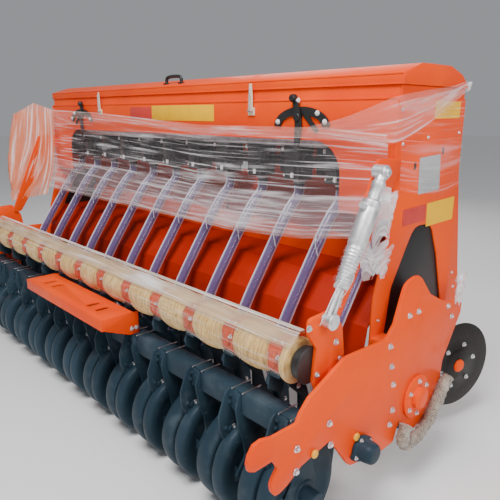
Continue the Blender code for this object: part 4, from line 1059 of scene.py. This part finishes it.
def chain_case_fittings():
    """The cover rim and bolts on the chain case."""
    rim = [(0.500, 0.245), (0.560, 0.315), (0.700, 0.660), (0.775, 0.790), (0.745, 0.855), (0.660, 0.850),
           (0.590, 0.720), (0.470, 0.330), (0.450, 0.270)]
    line = eased([(CHAIN_FACE + 0.002, y, z) for y, z in rim + rim[:1]], 2)
    piece("chain_case_bead", hose(line[:-1], 0.0042, 10, closed=True), ORANGE)
    places = [(0.565, 0.300), (0.625, 0.445), (0.690, 0.600), (0.760, 0.735), (0.790, 0.840), (0.665, 0.880),
              (0.600, 0.790), (0.545, 0.640), (0.490, 0.470), (0.440, 0.330), (0.470, 0.232)]
    studs = [bolt((CHAIN_FACE + 0.0075, y, z), (-1, 0, 0), 0.0058) for y, z in places]
    piece("chain_case_bolts", studs, ZINC)


# ---------------------------------------------------------------- hopper
def metering_units(name, node, middle, lever):
    """Twelve black metering housings on their drive shaft, with covers, gates and spouts."""
    face, spout, across = middle - 0.043, middle + SPOUT, 0.0115
    turns = [math.pi / 3 * k for k in range(6)]
    hexagon = [(middle + across * math.cos(a), METER_SHAFT + across * math.sin(a)) for a in turns]
    shapes = [prism(hexagon, -HOPPER + 0.0005, HOPPER - 0.0005)]
    collars = []
    for x in ROWS:
        shapes.append(block(x - 0.040, x + 0.040, middle - 0.041, middle + 0.041,
                            METER_TOP - 0.124, METER_TOP - 0.001, 0.006))
        shapes.append(block(x - 0.042, x + 0.042, face, middle + 0.043,
                            METER_TOP - 0.020, METER_TOP - 0.0005, 0.003))
        shapes.append(turning([(0, 0.030), (0.003, 0.034), (0.007, 0.034), (0.010, 0.030), (0.012, 0.014)],
                              32, (x, face + 0.006, METER_SHAFT), (0, -1, 0)))
        shapes.append(turning([(0, 0.034), (0.004, 0.036), (0.012, 0.036), (0.015, 0.030)], 32,
                              (x + 0.038, middle, METER_SHAFT), (1, 0, 0)))
        shapes.append(hose([(x, spout, METER_TOP - 0.117), (x, spout, 1.034), (x, spout, 1.0125)],
                           [0.028, 0.020, 0.0195], 24, 0.016))
        collars.append(hose([(x, spout, 1.046), (x, spout, 1.026)], [0.0245, 0.0245], 24, 0.0212))
        if lever:
            shapes.append(block(x + 0.020, x + 0.026, face - 0.016, face + 0.004,
                                METER_TOP - 0.110, METER_TOP - 0.070, 0.002))
            collars.append(rod((x + 0.023, face - 0.017, METER_TOP - 0.112),
                               (x + 0.023, face - 0.017, METER_TOP - 0.094), 0.006))
            collars.append(block(x - 0.044, x - 0.034, face - 0.006, face + 0.010,
                                 METER_TOP - 0.018, METER_TOP - 0.002, 0.003))
            collars += [bolt((x + dx, face - SEATED, METER_TOP - 0.108), (0, -1, 0), 0.0042, False)
                        for dx in (-0.031, 0.005)]
    piece(name, shapes, BLACK, "root", [node])
    piece(name + "_collars", collars, WHITE)


def drop_tubes():
    """Clear hoses from the spouts down to the boots, with white ties where the film ends."""
    foot = BOOT - BOOT_LEAN * 0.0003
    route = [(SEED_Y + SPOUT, 1.0117), (SEED_Y + SPOUT, 0.972), (0.430, 0.920), (0.320, 0.760),
             (0.212, 0.604), (0.170, 0.520), tuple(foot - BOOT_LEAN * 0.060), tuple(foot)]
    ties = []
    for i, x in enumerate(ROWS):
        line = eased([(x, y, z) for y, z in route], 3)
        piece("drop_hose_%02d" % (i + 1), hose(line, 0.0208, 24, 0.0168), HOSE, "root",
              ["seed_tube_%02d" % (i + 1)])
        ring = [Vector((x + 0.0185 * math.cos(a), 0.3745 + 0.0108 * math.sin(a),
                        0.840 - 0.0152 * math.sin(a))) for a in [2 * math.pi * k / 24 for k in range(24)]]
        ties.append(hose(ring, 0.0018, 8, closed=True))
        ties.append(block(x - 0.004, x + 0.004, 0.356, 0.364, 0.846, 0.856, 0.0015))
        tail = [(x + 0.002, 0.357, 0.852), (x + 0.012, 0.340, 0.846), (x + 0.026, 0.332, 0.826),
                (x + 0.034, 0.330, 0.800 + 0.006 * math.sin(i * 2.1))]
        ties.append(hose(eased(tail), 0.0011, 6))
    piece("hose_ties", ties, WHITE)


def rate_quadrants():
    """The black quadrants with their levers, knobs and white bolts."""
    x, z, half = 0.810, 1.236, 0.125
    face = WALL_Y - 0.0006

    def make():
        turns = [math.pi * k / 24 for k in range(25)]
        arc = [(x - half * math.cos(a), z + 0.066 * math.sin(a)) for a in turns]
        inner = [(x + (half - 0.030) * math.cos(a), z - 0.002 + 0.040 * math.sin(a)) for a in turns]
        plate = prism(arc + inner, face - 0.006, face, "y", 0.001)
        arm = rounded([(x - 0.024, z - 0.090, 0.010), (x - 0.004, z - 0.092, 0.010), (x + 0.010, z + 0.010),
                       (x - 0.016, z + 0.106, 0.008), (x - 0.036, z + 0.104, 0.008), (x - 0.020, z + 0.010)])
        lever = prism(arm, face - 0.014, face - 0.007, "y", 0.0015)
        strip = rounded([(x - 0.010, z + 0.056, 0.006), (x + 0.006, z + 0.066, 0.006),
                         (x + 0.080, z - 0.012, 0.006), (x + 0.066, z - 0.022, 0.006)])
        brace = prism(strip, face - 0.0062, face - 0.0005, "y", 0.001)
        knob = turning([(0, 0.010), (0.004, 0.0135), (0.016, 0.0135), (0.022, 0.010)], 28,
                       (x - 0.026, face - 0.006, z + 0.094), (0, -1, 0))
        spindle = rod((x - 0.010, face - 0.020, z + 0.030), (x - 0.010, face, z + 0.030), 0.014, 28, 0.002)
        return [plate, lever, brace, knob, spindle]

    def studs():
        places = ((-0.106, 0.014), (0.106, 0.016), (0.074, 0.044), (-0.012, 0.086))
        return [bolt((x + dx, face - 0.0065, z + dz), (0, -1, 0), 0.007) for dx, dz in places]

    both_sides("quadrant", make, BLACK, "root", ["rate_quadrant"])
    both_sides("quadrant_bolts", studs, WHITE)


def lid_latches():
    """The two cream toggle latches on the rear wall."""
    shapes, springs = [], []
    for x in LATCHES:
        tongue = rounded([(x - 0.013, 1.279, 0.006), (x + 0.013, 1.279, 0.006), (x + 0.011, 1.340, 0.004),
                          (x + 0.006, 1.386, 0.003), (x - 0.006, 1.386, 0.003), (x - 0.011, 1.340, 0.004)])
        shapes.append(prism(tongue, WALL_Y - 0.010, WALL_Y - 0.0065, "y", 0.001))
        shapes.append(block(x - 0.017, x + 0.017, WALL_Y - 0.006, WALL_Y - 0.0005, 1.272, 1.300, 0.001))
        springs.append(rod((x, WALL_Y - 0.0135, 1.290), (x, WALL_Y - 0.0135, 1.372), 0.0035, 12))
        springs.append(rod((x - 0.014, WALL_Y - 0.012, 1.288), (x + 0.014, WALL_Y - 0.012, 1.288), 0.003, 12))
    piece("lid_latches", shapes, CREAM)
    piece("latch_rods", springs, ZINC)


def signs():
    """Blank labels on the rear wall and right end, the rating plate, and the ends' slots and bolts."""
    out, side = WALL_Y - 0.0003, PANEL + SEATED
    rears = (("rear_yellow_sign", -0.110, 0.340, 1.248, 1.3135, YELLOW_SIGN),
             ("rear_red_sign", -0.300, -0.114, 1.252, 1.3080, RED_SIGN))
    for name, x0, x1, z0, z1, finish in rears:
        piece(name, block(x0, x1, out - 0.0008, out, z0, z1, 0.0003), finish)
    ends = (("end_yellow_sign", ((0.592, 0.908), (0.780, 0.910), (0.782, 0.992), (0.590, 0.988)), YELLOW_SIGN),
            ("end_red_sign", ((0.440, 0.930), (0.584, 0.932), (0.584, 0.986), (0.440, 0.984)), RED_SIGN),
            ("end_top_sign", ((0.592, 1.262), (0.764, 1.264), (0.764, 1.318), (0.592, 1.318)), YELLOW_SIGN))
    for name, corners, finish in ends:
        outline = rounded([(y, z, 0.004) for y, z in corners])
        piece(name, prism(outline, side, side + 0.0008), finish)
    plate = rounded([(0.522, 1.024, 0.006), (0.662, 1.028, 0.006), (0.652, 1.148, 0.006),
                     (0.518, 1.142, 0.006)])
    piece("rating_plate", prism(plate, side, side + 0.0016, "x", 0.0004), GREY_SIGN)
    slots = [prism(pad(y - 0.006, y + 0.006, z - 0.012, z + 0.012, 0.006), side, side + 0.0012, "x", 0.0004)
             for y, z in ((0.492, 1.118), (0.668, 1.158))]
    piece("end_slots", slots, BLACK)
    places = ((0.410, 1.190), (0.560, 1.205), (0.770, 1.215), (0.395, 1.290),
              (0.335, 0.640), (0.820, 0.700), (0.840, 0.640))
    studs = [bolt((way * side, y, z), (way, 0, 0), 0.0045) for way in (-1, 1) for y, z in places]
    piece("end_panel_bolts", studs, ZINC)


def beam_lip():
    """The upturned lip along the main beam, in front of the seed metering units, in orange darkened as painted
    shade.
    """
    shapes = [block(x0, x1, 0.610, 0.613, 0.8264, 0.916, 0.0008)
              for x0, x1 in ((-1.168, -0.158), (-0.134, 0.134), (0.158, 1.168))]
    # painted shade: the lip's orange is darkened for the shade it sits in
    piece("beam_lip", shapes, PAINTED_SHADE_ORANGE)


def hopper_trim():
    """Folded seams along the rear wall and the lid, and the straps and barrels of the lid's hinges."""
    fold = 0.0008
    end, lid_end = HOPPER - 0.001, LID_END - 0.002
    seams = [block(-end, end, WALL_Y - 0.0022, WALL_Y + 0.001, 1.3205, 1.3262, fold),
             block(-0.970, 0.970, WALL_Y - 0.0018, WALL_Y + 0.001, 1.1905, 1.1965, fold)]
    seams += [block(x - 0.0022, x + 0.0022, WALL_Y - 0.0018, WALL_Y + 0.004, 0.962, 1.326, fold)
              for x in (-1.1815, 1.1815)]
    piece("wall_seams", seams, ORANGE)
    hinges = [rod((x - 0.045, LID_HINGE_Y, LID_Z - 0.010), (x + 0.045, LID_HINGE_Y, LID_Z - 0.010), 0.006, 16)
              for x in LID_HINGES]
    hinges += [block(x - 0.040, x + 0.040, 0.8005, 0.8045, LID_Z - 0.050, LID_Z - 0.012, 0.001)
               for x in LID_HINGES]
    piece("lid_hinge_straps", hinges, ZINC)
    lips = [block(-lid_end, lid_end, LID_Y - 0.0020, LID_Y + 0.001, LID_Z + 0.0008, LID_Z + 0.0050, fold),
            block(-lid_end, lid_end, LID_Y - 0.0016, LID_Y + 0.001, LID_Z + 0.0290, LID_Z + 0.0335, fold)]
    piece("lid_seams", lips, ORANGE, "lid")


def lid_bow_handle():
    """The black bow handle on the lid, with its feet."""
    y, foot, half = HANDLE_Y, HANDLE_FOOT, 0.057
    line = eased([(-0.056, y, foot), (-half, y, foot + 0.018), (-0.046, y, foot + 0.031),
                  (0.046, y, foot + 0.031), (half, y, foot + 0.018), (0.056, y, foot)], 3)
    shapes = [hose(line, 0.0075, 20)]
    for x in (-half, half):
        outline = pad(x - 0.014, x + 0.014, y - 0.012, y + 0.014, 0.006)
        shapes.append(prism(outline, foot - 0.0045, foot + 0.0040, "z", 0.0015))
    piece("bow_handle", shapes, BLACK, "lid", ["lid_handle"])


# ---------------------------------------------------------------- hitch
def hitch_fittings():
    """Link pins with their collars, the stands' pivots and the bolts of the hitch."""
    shapes = []
    for side in (-1, 1):
        for x in (0.334, 0.476):
            shapes.append(rod((side * x, LINK_Y, LINK_Z), (side * (x + 0.008), LINK_Y, LINK_Z), 0.022, 28,
                              0.002))
        shapes.append(rod((side * 0.4868, LINK_Y, 0.580), (side * 0.4868, LINK_Y, 0.622), 0.0035, 12))
        shapes.append(bolt((side * 0.500, 0.8735, 0.560), (0, 1, 0), 0.012))
        shapes += [bolt((side * x, 0.8925, z), (0, 1, 0), 0.008) for z in (0.775, 0.800)
                   for x in (0.390, 0.434)]
        shapes.append(rod((side * 0.0560, 1.000, 1.180), (side * 0.0500, 1.000, 1.180), 0.019, 24, 0.002))
    piece("hitch_pins", shapes, ZINC)


# ---------------------------------------------------------------- stretch film
def follow(points, x):
    """The height at x along a line of (x, height) points."""
    for (x0, h0), (x1, h1) in zip(points, points[1:]):
        if x <= x1:
            return h0 + (h1 - h0) * (x - x0) / (x1 - x0)
    return points[-1][1]


def hopper_film():
    """The film across the metering units, its gathered edges and its runs over the hopper's ends."""
    top = [(-1.25, 1.296), (-1.15, 1.293), (-0.57, 1.276), (-0.10, 1.249), (0.27, 1.228), (0.95, 1.228),
           (1.25, 1.210)]
    foot = [(-1.25, 0.846), (0.50, 0.846), (0.88, 0.872), (1.07, 0.903), (1.25, 0.930)]
    depth = [(0.00, 0.3480), (0.08, 0.3500), (0.25, 0.3590), (0.45, 0.3520), (0.65, 0.3360), (0.82, 0.3180),
             (1.00, 0.3000)]

    def rail(down, drop=0.0, out=0.0, wave=0.003, seed=0.0):
        """A line along the film, a share of its height down."""
        line = []
        for i in range(61):
            x = -FILM_END + 2 * FILM_END * i / 60
            z = follow(top, x) + (follow(foot, x) - follow(top, x)) * down - drop
            line.append((x, follow(depth, down) - out + wave * noise.noise(Vector((x * 3.1, z * 9, seed))),
                         z + wave * 1.4 * noise.noise(Vector((x * 2.3, z * 5, seed + 3)))))
        return line

    sheet("rear_film", [rail(down) for down in (0.02, 0.08, 0.25, 0.40, 0.55, 0.70, 0.85, 1.0)], FILM,
          stands_for=["film_rear"], crumple=0.0035, fine=6)
    sheet("rear_film_lower", [rail(down, out=0.004) for down in (0.62, 0.80, 1.0)], FILM_LOWER,
          crumple=0.0035, fine=8, seed=6.0)
    hem = [rail(0.0, drop, out, 0.001, 1) for drop, out in ((-0.006, 0.002), (0.012, 0.006), (0.030, 0.003))]
    sheet("rear_film_hem", hem, FILM_TIGHT, crumple=0.003, fine=6, seed=1.0)
    foot_hem = [rail(1.0, drop, 0.004, 0.002, 2) for drop in (-0.010, 0.008)]
    sheet("rear_film_foot", foot_hem, FILM_TIGHT, crumple=0.002, fine=6, seed=2.0)

    bag = [[(-1.160, 0.360, 1.300), (-1.160, 0.356, 1.100), (-1.160, 0.335, 0.940), (-1.160, 0.280, 0.800)],
           [(-1.195, 0.262, 1.338), (-1.195, 0.230, 1.100), (-1.195, 0.158, 0.945), (-1.197, 0.078, 0.775)],
           [(-1.238, 0.160, 1.275), (-1.242, 0.104, 1.080), (-1.242, 0.094, 0.940), (-1.236, 0.098, 0.830)],
           [(-1.262, 0.300, 1.300), (-1.270, 0.240, 1.100), (-1.266, 0.220, 0.950), (-1.250, 0.180, 0.830)],
           [(-1.198, 0.450, 1.270), (-1.198, 0.440, 1.100), (-1.198, 0.420, 0.980), (-1.198, 0.380, 0.880)]]
    sheet("film_bag_left", bag, FILM_BAG, crumple=0.012, fine=14, seed=14.0)

    def end_run(side):
        """Three lines of the film that runs from the rear wall up over one end."""
        upper = [(0.860, 0.3500, 1.236), (1.020, 0.3500, 1.268), (1.165, 0.3540, 1.322),
                 (1.1935, 0.380, 1.332), (1.1950, 0.520, 1.350), (1.1960, 0.660, 1.362),
                 (1.1965, 0.775, 1.386)]
        middle = [(0.860, 0.3480, 1.228), (1.020, 0.3480, 1.232), (1.168, 0.3520, 1.248),
                  (1.1945, 0.380, 1.256), (1.1960, 0.520, 1.290), (1.1970, 0.660, 1.330),
                  (1.1975, 0.785, 1.374)]
        lower = [(0.860, 0.3465, 1.220), (1.020, 0.3465, 1.206), (1.168, 0.3510, 1.192),
                 (1.1940, 0.380, 1.196), (1.1960, 0.500, 1.235), (1.1965, 0.650, 1.296),
                 (1.1970, 0.795, 1.362)]
        return [[(side * x, y, z) for x, y, z in line] for line in (upper, middle, lower)]

    for side, name, seed in ((1, "right", 8.0), (-1, "left", 9.0)):
        sheet("film_run_%s" % name, end_run(side), FILM_TIGHT, crumple=0.003, fine=12, seed=seed)
    for side, name in ((1, "right"), (-1, "left")):
        upper = [(side * 1.1880, y, 1.322) for y in (0.385, 0.480, 0.560, 0.640, 0.720, 0.795)]
        sag = ((0.400, 1.045), (0.480, 1.030), (0.560, 1.018), (0.640, 1.012), (0.720, 1.016), (0.795, 1.030))
        lower = [(side * 1.1890, y, z) for y, z in sag]
        sheet("end_film_%s" % name, [upper, lower], FILM_THIN, stands_for=["film_%s" % name],
              crumple=0.002, fine=20, seed=11.0 + side)


def rag(name, middle, reach, seed):
    """A bunch of torn film, gathered and crumpled round a point."""
    middle, reach = Vector(middle), Vector(reach)
    turns = 2.2
    rails = []
    for r in range(6):
        line = []
        for i in range(12):
            a = turns * math.pi * i / 11 + r * 0.16
            wide = 0.45 + 0.55 * r / 5
            at = Vector((i * 0.9, r * 1.3, seed))
            push = Vector([noise.noise(at + Vector((7.3 * k, 0, 0))) for k in range(3)]) * 0.32
            climb = (r / 2.5 - 1) * 0.9
            swing = Vector((wide * math.cos(a), wide * math.sin(a * 0.9 + seed),
                            climb + 0.35 * math.sin(a * 1.4)))
            line.append(middle + reach * (swing + push))
        rails.append(line)
    sheet(name, rails, FILM_BUNCH, crumple=0.006, fine=5, seed=seed)


def film_bunches():
    """Bunched film at the strut, at the leg and corner of the right end, and the patch on the lid."""
    bunches = (("strut_upper", (1.222, 0.262, 0.985), (0.022, 0.045, 0.075)),
               ("strut_lower", (1.222, 0.215, 0.872), (0.024, 0.070, 0.055)),
               ("strut_side", (1.215, 0.290, 0.845), (0.020, 0.060, 0.045)),
               ("arm", (1.214, 0.085, 0.800), (0.016, 0.040, 0.040)),
               ("leg", (1.245, 0.765, 0.655), (0.018, 0.040, 0.060)),
               ("corner", (1.196, 0.790, 1.366), (0.005, 0.012, 0.014)))
    for seed, (place, middle, reach) in enumerate(bunches, 21):
        rag("film_bunch_" + place, middle, reach, seed)
    patch = [[(x, y, z) for y, z in ((0.520, 1.4284), (0.600, 1.4286), (0.660, 1.4284), (0.725, 1.4105))]
             for x in (1.040, 1.090, 1.140, 1.187)]
    sheet("lid_film_patch", patch, FILM_BUNCH, "lid", crumple=0.002, fine=6, seed=31.0)


# ---------------------------------------------------------------- the machine
studio()
for node in ("step_board", *pair("side_plate"), *pair("bar_arm"), *pair("bar_stay"), *pair("disc_arm"),
             "chain_case", "main_beam", "gearbox", *pair("end_panel"), "hopper_rear_wall",
             "hopper_front_wall", "hopper_lid", *pair("hitch_side"), "top_link_head", *pair("mast_stay"),
             *pair("parking_stand")):
    refined(node)
# the hood in orange darkened as painted shade
refined("hood", PAINTED_SHADE_ORANGE)
for node in pair("drive_guard"):
    refined(node)
for node in ("seed_trough", "fertiliser_trough"):
    frame["nodes"][node].material_slots[0].material = TROUGH
press_wheels()
roller_beam()
step_fittings()
opener_shanks()
bar_clamps()
straw_bays()
bar_film()
side_plate_bolts()
hub_cover()
spring_strut()
tie_wire()
side_discs()
wrapped_tie()
tiller()
gear_case_fittings()
input_shaft()
chain_case_fittings()
metering_units("seed_meters", "seed_metering", SEED_Y, True)
metering_units("fertiliser_meters", "fertiliser_metering", FERT_Y, False)
drop_tubes()
rate_quadrants()
lid_latches()
signs()
beam_lip()
hopper_trim()
lid_bow_handle()
hitch_fittings()
hopper_film()
film_bunches()
